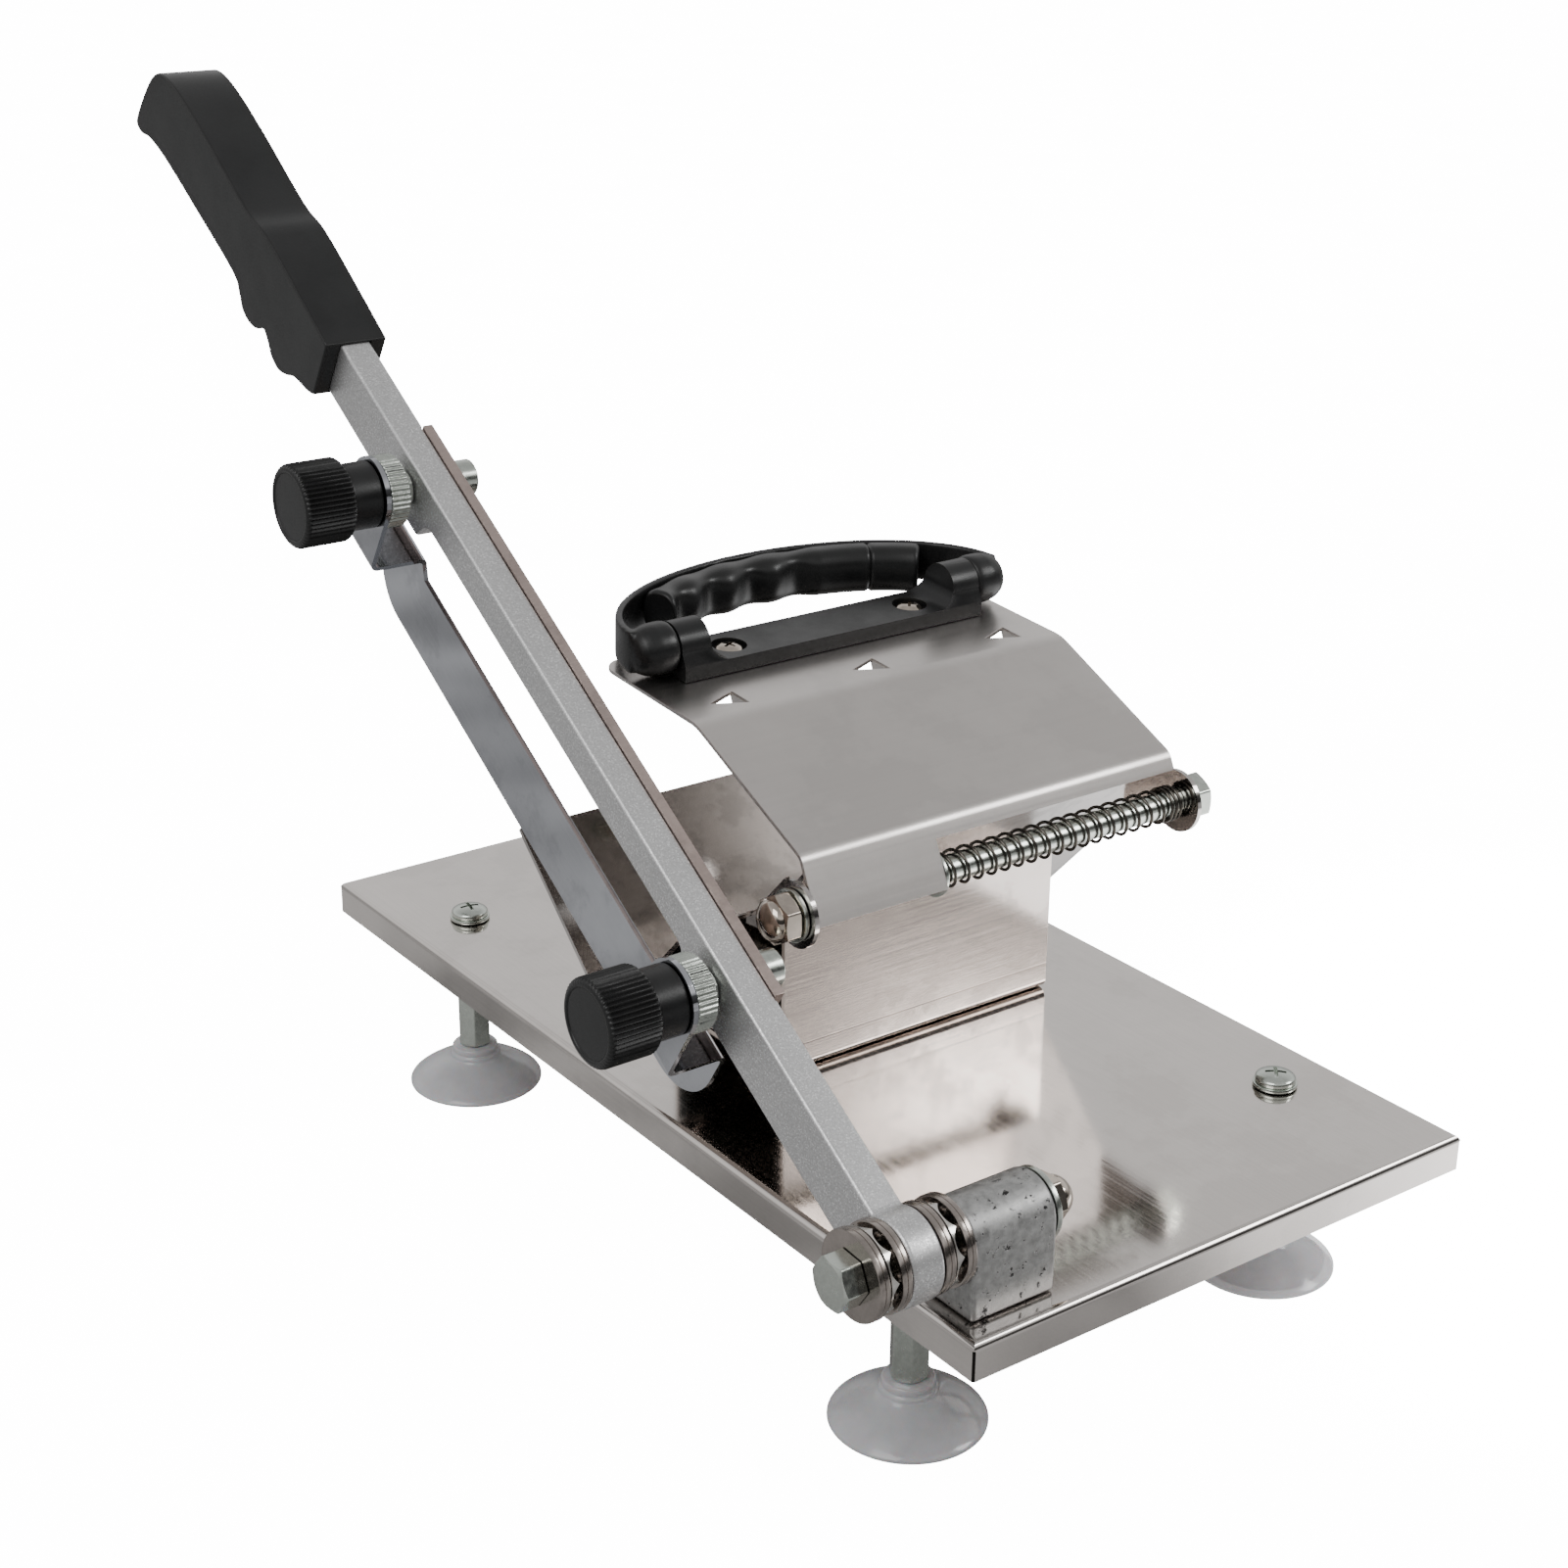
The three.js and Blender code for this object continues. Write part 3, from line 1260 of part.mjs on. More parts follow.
// Press plate: band on the sleeve, sloping front, crease and back panel
const PRESS_RIGHT = PRESS_LEFT + PRESS_WIDTH;
const PANEL_ANGLE = Math.atan2(PRESS_BACK_Z - PRESS_CREASE_Z, PRESS_BACK_Y - PRESS_CREASE_Y);
const HANDLE_LEFT = PRESS_LEFT + HANDLE_INSET_LEFT;
const HANDLE_RIGHT = PRESS_RIGHT - HANDLE_INSET_RIGHT;
const HANDLE_MIDDLE = (HANDLE_LEFT + HANDLE_RIGHT) / 2;
const HANDLE_SCREW_PLACES = [
  [HANDLE_MIDDLE - HANDLE_SCREW_SPREAD / 2, 0],
  [HANDLE_MIDDLE + HANDLE_SCREW_SPREAD / 2, 0],
];
const PANEL_Y = PRESS_BACK_Y - HANDLE_FORWARD;
const PANEL_Z = PRESS_BACK_Z - HANDLE_FORWARD * Math.tan(PANEL_ANGLE);

function pressPlate() {
  const section = bentSheet(
    [
      [PRESS_BAND_Y, PRESS_BAND_Z],
      [PRESS_FOLD_Y, PRESS_FOLD_Z],
      [PRESS_CREASE_Y, PRESS_CREASE_Z],
      [PRESS_BACK_Y, PRESS_BACK_Z],
    ],
    PRESS_SHEET,
    [PRESS_FOLD_BEND, PRESS_CREASE_BEND],
  );
  const bent = extrude(section, "x", PRESS_LEFT, PRESS_RIGHT);
  const low = PRESS_BAND_Z - 2 * OVERRUN;
  const high = PRESS_BACK_Z + 2 * OVERRUN;
  const plan = extrude(
    rounded([
      [PRESS_LEFT, PRESS_BAND_Y - 2 * OVERRUN],
      [PRESS_RIGHT, PRESS_BAND_Y - 2 * OVERRUN],
      [PRESS_RIGHT, PRESS_BACK_Y, PRESS_CORNER],
      [PRESS_LEFT, PRESS_BACK_Y, PRESS_CORNER],
    ]),
    "z",
    low,
    high,
  );
  const band = block(
    [SLEEVE_RIGHT, PRESS_RIGHT + OVERRUN],
    [PRESS_BAND_Y - 2 * OVERRUN, PRESS_FOLD_Y + PRESS_SHEET],
    [low, PRESS_LIP_Z],
  );
  const bores = HANDLE_SCREW_PLACES.map(([x]) =>
    cylinder(HANDLE_SCREW_RADIUS + 2 * RUN, "z", low, high, [x, PANEL_Y, 0]),
  );
  const teeth = Array.from({ length: TOOTH_COUNT }, (_, i) => tooth(TOOTH_FIRST + i * TOOTH_PITCH));
  const windows = teeth.map((one) => one.window);
  return join(cut(bent.intersect(plan), band, ...bores, ...windows), ...teeth.map((one) => one.spike));
}

// A tooth is a triangle cut on two sides and folded down along the third.
function tooth(inset) {
  const left = PRESS_LEFT + inset;
  const right = left + TOOTH_LENGTH;
  const y = PRESS_CREASE_Y + TOOTH_BACK;
  const z = PRESS_CREASE_Z + TOOTH_BACK * Math.tan(PANEL_ANGLE);
  const half = TOOTH_WIDTH / 2;
  const triangle = [
    new THREE.Vector2(left, y),
    new THREE.Vector2(right, y - half),
    new THREE.Vector2(right, y + half),
  ];
  const window = extrude(triangle, "z", z - 2 * PRESS_SHEET, z + 2 * PRESS_SHEET);
  const rise = half * Math.tan(PANEL_ANGLE);
  const folded = [
    new THREE.Vector2(y - half, z - rise),
    new THREE.Vector2(y, z - TOOTH_LENGTH),
    new THREE.Vector2(y + half, z + rise),
  ];
  const spike = extrude(folded, "x", right - PRESS_SHEET / 2, right + PRESS_SHEET / 2);
  return { window, spike };
}

piece(model, "press_plate", brushedSteel, pressPlate());

// Handle: its group lies on the back panel, with z square to the sheet
const handle = new THREE.Group();
handle.rotation.x = PANEL_ANGLE;
handle.position.set(
  0,
  PANEL_Y - (PRESS_SHEET / 2) * Math.sin(PANEL_ANGLE),
  PANEL_Z + (PRESS_SHEET / 2) * Math.cos(PANEL_ANGLE),
);
model.add(handle);

const BAR_TOP = SEAT + HANDLE_BAR;
const HANDLE_AXIS = [0, 0, HANDLE_AXIS_HEIGHT];
const LUG_RADIUS = HANDLE_WIDTH / 2;
const PIN_BORE = HANDLE_PIN_RADIUS + RUN;
const PIN_HALF = HANDLE_PIN_LENGTH / 2;
const EYE_LEFT_RIGHT = HANDLE_LEFT - SEAT;
const EYE_RIGHT_LEFT = HANDLE_RIGHT + SEAT;
const EYE_LEFT_LEFT = EYE_LEFT_RIGHT - BAIL_EYE_LENGTH;
const EYE_RIGHT_RIGHT = EYE_RIGHT_LEFT + BAIL_EYE_LENGTH;

function pinBores(centre) {
  return [HANDLE_LEFT, HANDLE_RIGHT].map((x) =>
    cylinder(PIN_BORE, "x", x - PIN_HALF - SEAT, x + PIN_HALF + SEAT, centre),
  );
}

function handleBase() {
  const bar = block([HANDLE_LEFT, HANDLE_RIGHT], [-LUG_RADIUS, LUG_RADIUS], [SEAT, BAR_TOP]);
  const lugs = [HANDLE_LEFT, HANDLE_RIGHT - HANDLE_LUG].map((x) =>
    join(
      cylinder(LUG_RADIUS, "x", x, x + HANDLE_LUG, HANDLE_AXIS),
      block([x, x + HANDLE_LUG], [-LUG_RADIUS, LUG_RADIUS], [SEAT, HANDLE_AXIS_HEIGHT]),
    ),
  );
  const trimmed = block(
    [HANDLE_LEFT - OVERRUN, HANDLE_RIGHT + OVERRUN],
    [-HANDLE_WIDTH, HANDLE_WIDTH],
    [SEAT - LUG_RADIUS, SEAT],
  );
  const screwHoles = HANDLE_SCREW_PLACES.flatMap((place) => [
    hole(HANDLE_SCREW_RADIUS, place, SEAT - OVERRUN, BAR_TOP + OVERRUN),
    hole(HANDLE_RECESS_RADIUS, place, BAR_TOP - HANDLE_RECESS_DEPTH, BAR_TOP + OVERRUN),
  ]);
  return cut(join(bar, ...lugs), trimmed, ...screwHoles, ...pinBores(HANDLE_AXIS));
}

// Bail group: its z runs from the pins' axis to the middle of the bail, which is folded back.
const bail = new THREE.Group();
bail.position.set(...HANDLE_AXIS);
bail.rotation.x = -THREE.MathUtils.degToRad(BAIL_FOLD);
handle.add(bail);

const HALF_TURN = 180;

// Points of an elliptical line of the bail, from one angle to another about its middle
function bailLine(inset, from, to, steps, dents = () => 0) {
  const half = (EYE_RIGHT_RIGHT - EYE_LEFT_LEFT) / 2 - inset;
  return Array.from({ length: steps + 1 }, (_, i) => {
    const angle = THREE.MathUtils.degToRad(from + ((to - from) * i) / steps);
    const reach = (BAIL_REACH - inset + dents(i / steps)) * Math.sin(angle);
    return new THREE.Vector2(reach, HANDLE_MIDDLE - half * Math.cos(angle));
  });
}

function handleBail() {
  const outline = [
    ...bailLine(0, 0, HALF_TURN, BAIL_STEPS),
    ...bailLine(BAIL_STRIP, HALF_TURN, 0, BAIL_STEPS),
  ];
  const half = BAIL_STRIP_WIDTH / 2;
  const strip = extrude(outline, "y", -half, half);
  const eyes = [
    [EYE_LEFT_LEFT, EYE_LEFT_RIGHT],
    [EYE_RIGHT_LEFT, EYE_RIGHT_RIGHT],
  ].map(([from, to]) => cylinder(BAIL_EYE_RADIUS, "x", from, to, ORIGIN));
  return cut(join(strip, ...eyes), ...pinBores(ORIGIN));
}

// Finger grip: a rounded sleeve inside the strip, with lobes along its inner side
function handleGrip() {
  const [outer, inner] = [BAIL_GRIP_OUTER_ANGLE, BAIL_GRIP_INNER_ANGLE];
  const steps = Math.round((BAIL_STEPS * (HALF_TURN - 2 * outer)) / HALF_TURN);
  const dents = (share) => BAIL_LOBE_DEPTH * (1 - Math.abs(Math.sin(Math.PI * BAIL_GRIP_LOBES * share)));
  const outline = [
    ...bailLine(BAIL_STRIP + SEAT, outer, HALF_TURN - outer, steps),
    ...bailLine(
      BAIL_STRIP + SEAT + BAIL_GRIP_DEPTH,
      HALF_TURN - inner,
      inner,
      LOBE_STEPS * BAIL_GRIP_LOBES,
      dents,
    ),
  ];
  const half = BAIL_GRIP_WIDTH / 2;
  const clear = HANDLE_LUG + HANDLE_LUG_CLEARANCE;
  const swept = [HANDLE_LEFT - HANDLE_LUG_CLEARANCE, HANDLE_RIGHT - clear].map((x) =>
    cylinder(LUG_RADIUS + HANDLE_LUG_CLEARANCE, "x", x, x + clear + HANDLE_LUG_CLEARANCE, ORIGIN),
  );
  return cut(extrude(outline, "y", -half, half, BAIL_GRIP_ROUNDING), ...swept);
}

function handleScrew([x, y]) {
  const under = BAR_TOP - HANDLE_RECESS_DEPTH + SEAT;
  const tip = -PRESS_SHEET - HANDLE_SCREW_REACH;
  return turned(
    [
      [0, tip],
      [HANDLE_SCREW_RADIUS, tip],
      [HANDLE_SCREW_RADIUS, under],
      [HANDLE_SCREW_HEAD_RADIUS, under],
      [HANDLE_SCREW_HEAD_RADIUS, under + HANDLE_SCREW_HEAD_HEIGHT / 2],
      [HANDLE_SCREW_HEAD_RADIUS / 2, under + HANDLE_SCREW_HEAD_HEIGHT],
      [0, under + HANDLE_SCREW_HEAD_HEIGHT],
    ],
    "z",
    [x, y, 0],
  );
}

piece(handle, "handle_base", blackPlastic, handleBase());
piece(bail, "handle_bail", blackPlastic, handleBail());
piece(bail, "handle_grip", blackPlastic, handleGrip());
[HANDLE_LEFT, HANDLE_RIGHT].forEach((x, i) => {
  const pin = cylinder(HANDLE_PIN_RADIUS, "x", x - PIN_HALF, x + PIN_HALF, HANDLE_AXIS);
  piece(handle, `handle_pin_${i + 1}`, zinc, pin);
});
HANDLE_SCREW_PLACES.forEach((place, i) => {
  const nutTop = -PRESS_SHEET - SEAT;
  const nut = boredHexagon(
    HANDLE_NUT_FLATS,
    "z",
    nutTop - HANDLE_NUT_HEIGHT,
    nutTop,
    HANDLE_SCREW_RADIUS + RUN,
    [...place, 0],
  );
  piece(handle, `handle_screw_${i + 1}`, chrome, handleScrew(place));
  piece(handle, `handle_nut_${i + 1}`, zinc, nut);
});

// The whole stands with the middle of its footprint on the origin.
const slicer = new THREE.Group();
slicer.add(model);
model.updateMatrixWorld(true);
const bounds = new THREE.Box3().setFromObject(model, true);
const footprint = bounds.getCenter(new THREE.Vector3());
model.position.set(-footprint.x, -footprint.y, -bounds.min.z);

export default slicer;
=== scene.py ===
import json
from math import acos, asin, atan2, ceil, copysign, cos, exp, pi, radians, sin, sqrt, tan

import bmesh
import bpy
from mathutils import Matrix, Vector


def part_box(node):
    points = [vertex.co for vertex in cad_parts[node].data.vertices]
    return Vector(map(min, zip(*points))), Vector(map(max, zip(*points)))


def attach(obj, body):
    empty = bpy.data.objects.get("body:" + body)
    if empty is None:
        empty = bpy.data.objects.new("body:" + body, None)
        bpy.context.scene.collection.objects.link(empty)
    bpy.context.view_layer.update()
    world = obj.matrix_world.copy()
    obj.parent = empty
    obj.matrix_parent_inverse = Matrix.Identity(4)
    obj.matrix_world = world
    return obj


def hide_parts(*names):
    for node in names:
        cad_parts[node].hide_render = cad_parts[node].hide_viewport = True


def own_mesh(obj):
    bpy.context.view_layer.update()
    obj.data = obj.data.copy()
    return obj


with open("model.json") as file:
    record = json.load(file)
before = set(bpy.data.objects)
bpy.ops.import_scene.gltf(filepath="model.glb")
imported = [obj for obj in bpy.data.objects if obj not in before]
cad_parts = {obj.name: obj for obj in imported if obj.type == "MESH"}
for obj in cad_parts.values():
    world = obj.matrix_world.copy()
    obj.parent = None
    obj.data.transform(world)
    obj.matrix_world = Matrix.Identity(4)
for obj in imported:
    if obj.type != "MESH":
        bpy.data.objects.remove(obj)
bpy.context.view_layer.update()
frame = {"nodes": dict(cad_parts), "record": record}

# Sizes that all pieces share
GAP = 0.3  # between two pieces that seat on each other
RUN = 0.25  # around a pin or bolt
PAST = 1  # how far a cutting tool reaches past what it cuts
FINE_EDGE = 0.2  # rounding of a cut sheet
ORIGIN = (0, 0, 0)

# The stand's frame starts at the front left corner of the base's top face
LOW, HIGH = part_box("base_plate")
STAND = Matrix.Translation((LOW.x, LOW.y, HIGH.z)) @ Matrix.Scale(0.001, 4)

# The lever's frame starts on the pivot and has y along the arm
PIVOT = (0, 17.2, 20.3)
LEVER_TURN = radians(32.45)
LEVER = STAND @ Matrix.Translation(PIVOT) @ Matrix.Rotation(LEVER_TURN, 4, "X")

# The handle's frame lies on the rear panel of the press plate
PRESS = [(95.5, 70.3), (104, 88), (153.5, 110.5), (203.5, 114)]
PRESS_SHEET = 1.2
PANEL_FROM, PANEL_TO = PRESS[2:]
PANEL_TURN = atan2(PANEL_TO[1] - PANEL_FROM[1], PANEL_TO[0] - PANEL_FROM[0])
HANDLE_FORWARD = 16.4
HANDLE_PLACE = (
    0,
    PANEL_TO[0] - HANDLE_FORWARD - PRESS_SHEET / 2 * sin(PANEL_TURN),
    PANEL_TO[1] - HANDLE_FORWARD * tan(PANEL_TURN) + PRESS_SHEET / 2 * cos(PANEL_TURN),
)
HANDLE = STAND @ Matrix.Translation(HANDLE_PLACE) @ Matrix.Rotation(PANEL_TURN, 4, "X")

# Camera at the photo's view
CAMERA_PLACE = (-0.417996, -0.610097, 0.423271)
CAMERA_RIGHT = Vector((0.80916, -0.58753, 0.00830))
CAMERA_UP = Vector((0.21335, 0.30693, 0.92751))
CAMERA_AHEAD = Vector((0.54748, 0.74874, -0.37371))
camera = bpy.data.objects.new("camera", bpy.data.cameras.new("camera"))
bpy.context.scene.collection.objects.link(camera)
camera.data.lens = 59.06
camera.data.sensor_width = 36
camera.data.clip_start = 0.01
camera.data.clip_end = 60
axes = Matrix((CAMERA_RIGHT, CAMERA_UP, -CAMERA_AHEAD)).transposed()
camera.matrix_world = Matrix.Translation(CAMERA_PLACE) @ axes.to_4x4()
bpy.context.scene.camera = camera

# Material nodes
MIX_A, MIX_B, MIX_RESULT = 6, 7, 2  # the mix node's colour sockets


def even(value):
    """The same value three times, as a grey or as a scale."""
    return (value,) * 3


def grey(color, factor):
    return tuple(channel * factor for channel in color)


def add(tree, kind, values={}, links={}):
    """A new node with these values and links, by the names or numbers of its inputs."""
    node = tree.nodes.new(kind)
    for key, value in values.items():
        node.inputs[key].default_value = value
    for key, output in links.items():
        tree.links.new(output, node.inputs[key])
    return node


def mapped(tree, scale, turn=0.0):
    """Object coordinates, with scale as features per metre and turn about x."""
    values = {"Rotation": (turn, 0, 0), "Scale": [1 / s for s in scale]}
    place = add(tree, "ShaderNodeTexCoord").outputs["Object"]
    mapping = add(tree, "ShaderNodeMapping", values, {"Vector": place})
    mapping.vector_type = "TEXTURE"
    return mapping.outputs["Vector"]


def noise(tree, scale, detail=3, turn=0.0, roughness=0.55):
    values = {"Scale": 1, "Detail": detail, "Roughness": roughness}
    return add(tree, "ShaderNodeTexNoise", values, {"Vector": mapped(tree, scale, turn)}).outputs["Fac"]


def cells(tree, scale):
    """Cells with one random value each."""
    pattern = add(tree, "ShaderNodeTexVoronoi", {"Scale": 1}, {"Vector": mapped(tree, scale)})
    return add(tree, "ShaderNodeSeparateColor", {}, {"Color": pattern.outputs["Color"]}).outputs["Red"]


def levels(tree, fac, ends, values):
    """Maps the two ends of fac to the two values."""
    limits = dict(zip(("From Min", "From Max", "To Min", "To Max"), (*ends, *values)))
    return add(tree, "ShaderNodeMapRange", limits, {"Value": fac}).outputs["Result"]


def ramp(tree, fac, stops):
    """Maps fac to colors, by stops of a place and a color."""
    node = add(tree, "ShaderNodeValToRGB", {}, {"Fac": fac})
    band = node.color_ramp
    while len(band.elements) < len(stops):
        band.elements.new(0.5)
    for element, (place, color) in zip(band.elements, stops):
        element.position = place
        element.color = (*color, 1)
    return node.outputs["Color"]


def multiply(tree, a, b):
    node = add(tree, "ShaderNodeMix", {"Factor": 1})
    node.data_type = "RGBA"
    node.blend_type = "MULTIPLY"
    tree.links.new(a, node.inputs[MIX_A])
    tree.links.new(b, node.inputs[MIX_B])
    return node.outputs[MIX_RESULT]


def calculated(tree, operation, a, b):
    node = add(tree, "ShaderNodeMath", {}, {0: a, 1: b})
    node.operation = operation
    return node.outputs[0]


def bump(tree, height, distance, strength=1.0, under=None):
    """A bump of this height in metres, on top of another one where under is given."""
    links = {"Height": height, "Normal": under} if under else {"Height": height}
    return add(tree, "ShaderNodeBump", {"Distance": distance, "Strength": strength}, links).outputs["Normal"]


def plain(name, metallic, roughness, **sockets):
    """A material with constant values, returned with its tree and shader."""
    made = bpy.data.materials.new(name)
    made.use_nodes = True
    shader = made.node_tree.nodes["Principled BSDF"]
    for key, value in {"Metallic": metallic, "Roughness": roughness, **sockets}.items():
        shader.inputs[key.replace("_", " ")].default_value = value
    return made, made.node_tree, shader


def dress(tree, shader, color, roughness, normal):
    tree.links.new(color, shader.inputs["Base Color"])
    tree.links.new(roughness, shader.inputs["Roughness"])
    tree.links.new(normal, shader.inputs["Normal"])


# Materials
def sheet_steel(name, color, grain, rough, turn=0.0, stain=0.12, stain_scale=28, depth=4e-6, streak=0.95):
    """Rolled sheet: a grain, darker streaks down to the share streak, and stains that are also duller."""
    made, tree, shader = plain(name, metallic=1, roughness=0.3)
    lines = noise(tree, grain, turn=turn)
    patches = noise(tree, even(stain_scale), detail=7, roughness=0.62)
    stops = [(0.36, grey(color, 1.04)), (0.51, color), (0.58, grey(color, 1 - stain))]
    shades = ramp(tree, patches, stops)
    streaks = ramp(tree, lines, [(0.3, even(streak)), (0.7, even(1.0))])
    polish = levels(tree, lines, (0.3, 0.7), rough)
    dullness = levels(tree, patches, (0.5, 0.7), (0, stain * 0.5))
    wear = calculated(tree, "ADD", polish, dullness)
    dress(tree, shader, multiply(tree, shades, streaks), wear, bump(tree, lines, depth))
    return made


def machined(name, color, rough, speckle=900, depth=1.5e-5, contrast=0.14):
    made, tree, shader = plain(name, metallic=1, roughness=0.3)
    fine = noise(tree, even(speckle), detail=4)
    broad = noise(tree, even(110), detail=4)
    shades = ramp(tree, broad, [(0.35, grey(color, 1 - contrast)), (0.65, color)])
    grains = ramp(tree, fine, [(0.35, even(0.9)), (0.65, even(1.0))])
    polish = levels(tree, fine, (0.3, 0.7), rough)
    dress(tree, shader, multiply(tree, shades, grains), polish, bump(tree, fine, depth))
    return made


def silver_paint():
    """Metallic paint on the lever: flakes, broad shading and faint scratches along the arm."""
    made, tree, shader = plain("silver_paint", metallic=0.85, roughness=0.4)
    flakes = cells(tree, even(2600))
    broad = noise(tree, even(60), detail=4)
    sparkle = ramp(tree, flakes, [(0.0, even(0.54)), (0.8, even(0.66)), (1.0, even(0.9))])
    shade = ramp(tree, broad, [(0.3, even(0.93)), (0.7, even(1.0))])
    gloss = levels(tree, flakes, (0, 1), (0.46, 0.34))
    scratches = bump(tree, noise(tree, (1800, 60, 1800), detail=2, turn=LEVER_TURN), 3e-6)
    relief = bump(tree, flakes, 8e-6, strength=0.8, under=scratches)
    dress(tree, shader, multiply(tree, sparkle, shade), gloss, relief)
    return made


def cast_metal():
    """A raw casting: mottled grey, with its pits darkened as painted shade over their bump."""
    made, tree, shader = plain("cast_metal", metallic=0.85, roughness=0.45)
    fine = noise(tree, even(420), detail=6, roughness=0.6)
    pits = noise(tree, even(330), detail=5, turn=0.7, roughness=0.7)
    body = ramp(tree, fine, [(0.35, (0.28, 0.28, 0.275)), (0.65, (0.42, 0.42, 0.415))])
    # Painted shade: the colour drops to a tenth inside the pits
    holes = ramp(tree, pits, [(0.36, even(0.1)), (0.395, even(1.0))])
    polish = levels(tree, fine, (0.3, 0.7), (0.34, 0.54))
    pit_depth = levels(tree, pits, (0.35, 0.41), (0, 1))
    skin_relief = bump(tree, fine, 1.0e-4, strength=0.6)
    relief = bump(tree, pit_depth, 2.5e-4, strength=0.8, under=skin_relief)
    dress(tree, shader, multiply(tree, body, holes), polish, relief)
    return made


def moulded(name, color, rough, depth=1.5e-5):
    made, tree, shader = plain(name, metallic=0, roughness=0.4, Specular_IOR_Level=0.4)
    fine = noise(tree, even(1300))
    broad = noise(tree, even(70), detail=4)
    shades = ramp(tree, broad, [(0.35, grey(color, 0.8)), (0.7, grey(color, 1.25))])
    gloss = levels(tree, broad, (0.35, 0.65), rough)
    dress(tree, shader, shades, gloss, bump(tree, fine, depth))
    return made


def frosted():
    """Cloudy soft plastic that lets a little light through."""
    made, tree, shader = plain(
        "frosted_pvc",
        metallic=0,
        roughness=0.4,
        Transmission_Weight=0.25,
        IOR=1.45,
        Subsurface_Weight=0.3,
        Subsurface_Scale=0.006,
        Coat_Weight=0.4,
    )
    broad = noise(tree, even(90), detail=4)
    shades = ramp(tree, broad, [(0.3, (0.55, 0.55, 0.575)), (0.7, (0.64, 0.64, 0.665))])
    gloss = levels(tree, broad, (0.3, 0.7), (0.14, 0.22))
    dress(tree, shader, shades, gloss, bump(tree, noise(tree, even(500)), 2e-5))
    return made


ALONG_Y = (1800, 14, 1800)
ALONG_X = (14, 2200, 2200)
SHEETS = {
    "satin_steel": dict(
        color=(0.63, 0.59, 0.562), grain=ALONG_Y, rough=(0.07, 0.13), stain=0.06, depth=2e-6
    ),
    "bright_steel": dict(
        color=(0.56, 0.53, 0.51), grain=ALONG_X, rough=(0.06, 0.12), stain=0.16, stain_scale=75
    ),
    "bracket_steel": dict(color=(0.64, 0.58, 0.54), grain=ALONG_X, rough=(0.1, 0.19), stain_scale=90),
    "gauge_steel": dict(
        color=(0.48, 0.49, 0.52), grain=ALONG_Y, rough=(0.04, 0.08), turn=LEVER_TURN, stain_scale=50
    ),
    "brushed_steel": dict(
        color=(0.6, 0.568, 0.545),
        grain=(9, 1500, 1500),
        rough=(0.28, 0.34),
        stain=0.05,
        depth=8e-7,
        streak=0.98,
    ),
    "blade_steel": dict(
        color=(0.5, 0.41, 0.375),
        grain=(500, 3400, 500),
        rough=(0.28, 0.46),
        turn=LEVER_TURN,
        stain=0.15,
        stain_scale=70,
        depth=2.5e-5,
    ),
}
METALS = {
    # Near-black painted shade for the slabs inside the corner slits, standing in for the shadow in the gaps
    "painted_seam_shade": dict(color=(0.02, 0.018, 0.017), rough=(0.5, 0.7)),
    "race_steel": dict(color=(0.42, 0.375, 0.345), rough=(0.14, 0.24), depth=4e-6),
    "cage_steel": dict(color=(0.62, 0.6, 0.57), rough=(0.12, 0.22), speckle=700, depth=5e-6),
    "spring_steel": dict(color=(0.13, 0.12, 0.105), rough=(0.18, 0.3)),
    "zinc": dict(color=(0.6, 0.635, 0.585), rough=(0.16, 0.28), speckle=700, depth=4e-6, contrast=0.08),
    "chrome": dict(color=(0.64, 0.565, 0.49), rough=(0.03, 0.09), speckle=500, depth=2e-6, contrast=0.25),
}
MATERIALS = {name: sheet_steel(name, **look) for name, look in SHEETS.items()}
MATERIALS |= {name: machined(name, **look) for name, look in METALS.items()}
MATERIALS["cast_aluminium"] = silver_paint()
MATERIALS["cast_block"] = cast_metal()
MATERIALS["black_plastic"] = moulded("black_plastic", color=(0.0075, 0.0076, 0.0078), rough=(0.28, 0.4))
MATERIALS["soft_pvc"] = frosted()

# Drawing: each axis with the coordinates of an outline's two directions and of its depth
AXES = {"x": (1, 2, 0), "y": (2, 0, 1), "z": (0, 1, 2)}
ARC_STEP = radians(9)
MERGE = 1e-5
CENTRED = 1e-6  # a radius below this is a point on the axis


def put(axis, a, b, c):
    """The point (a, b) of an outline at depth c."""
    point = [0.0, 0.0, 0.0]
    for index, value in zip(AXES[axis], (a, b, c)):
        point[index] = value
    return Vector(point)


def around(axis, centre, radius, angle, height):
    """The point at this radius and angle about the axis through centre."""
    ia, ib, ic = AXES[axis]
    a = centre[ia] + radius * cos(angle)
    b = centre[ib] + radius * sin(angle)
    return put(axis, a, b, centre[ic] + height)


def solid(verts, faces):
    """An object from points and faces, with equal points merged and its faces turned outwards."""
    mesh = bpy.data.meshes.new("shape")
    mesh.from_pydata([tuple(v) for v in verts], [], faces)
    body = bmesh.new()
    body.from_mesh(mesh)
    bmesh.ops.remove_doubles(body, verts=body.verts, dist=MERGE)
    bmesh.ops.recalc_face_normals(body, faces=body.faces)
    body.to_mesh(mesh)
    body.free()
    made = bpy.data.objects.new("shape", mesh)
    bpy.context.scene.collection.objects.link(made)
    return made


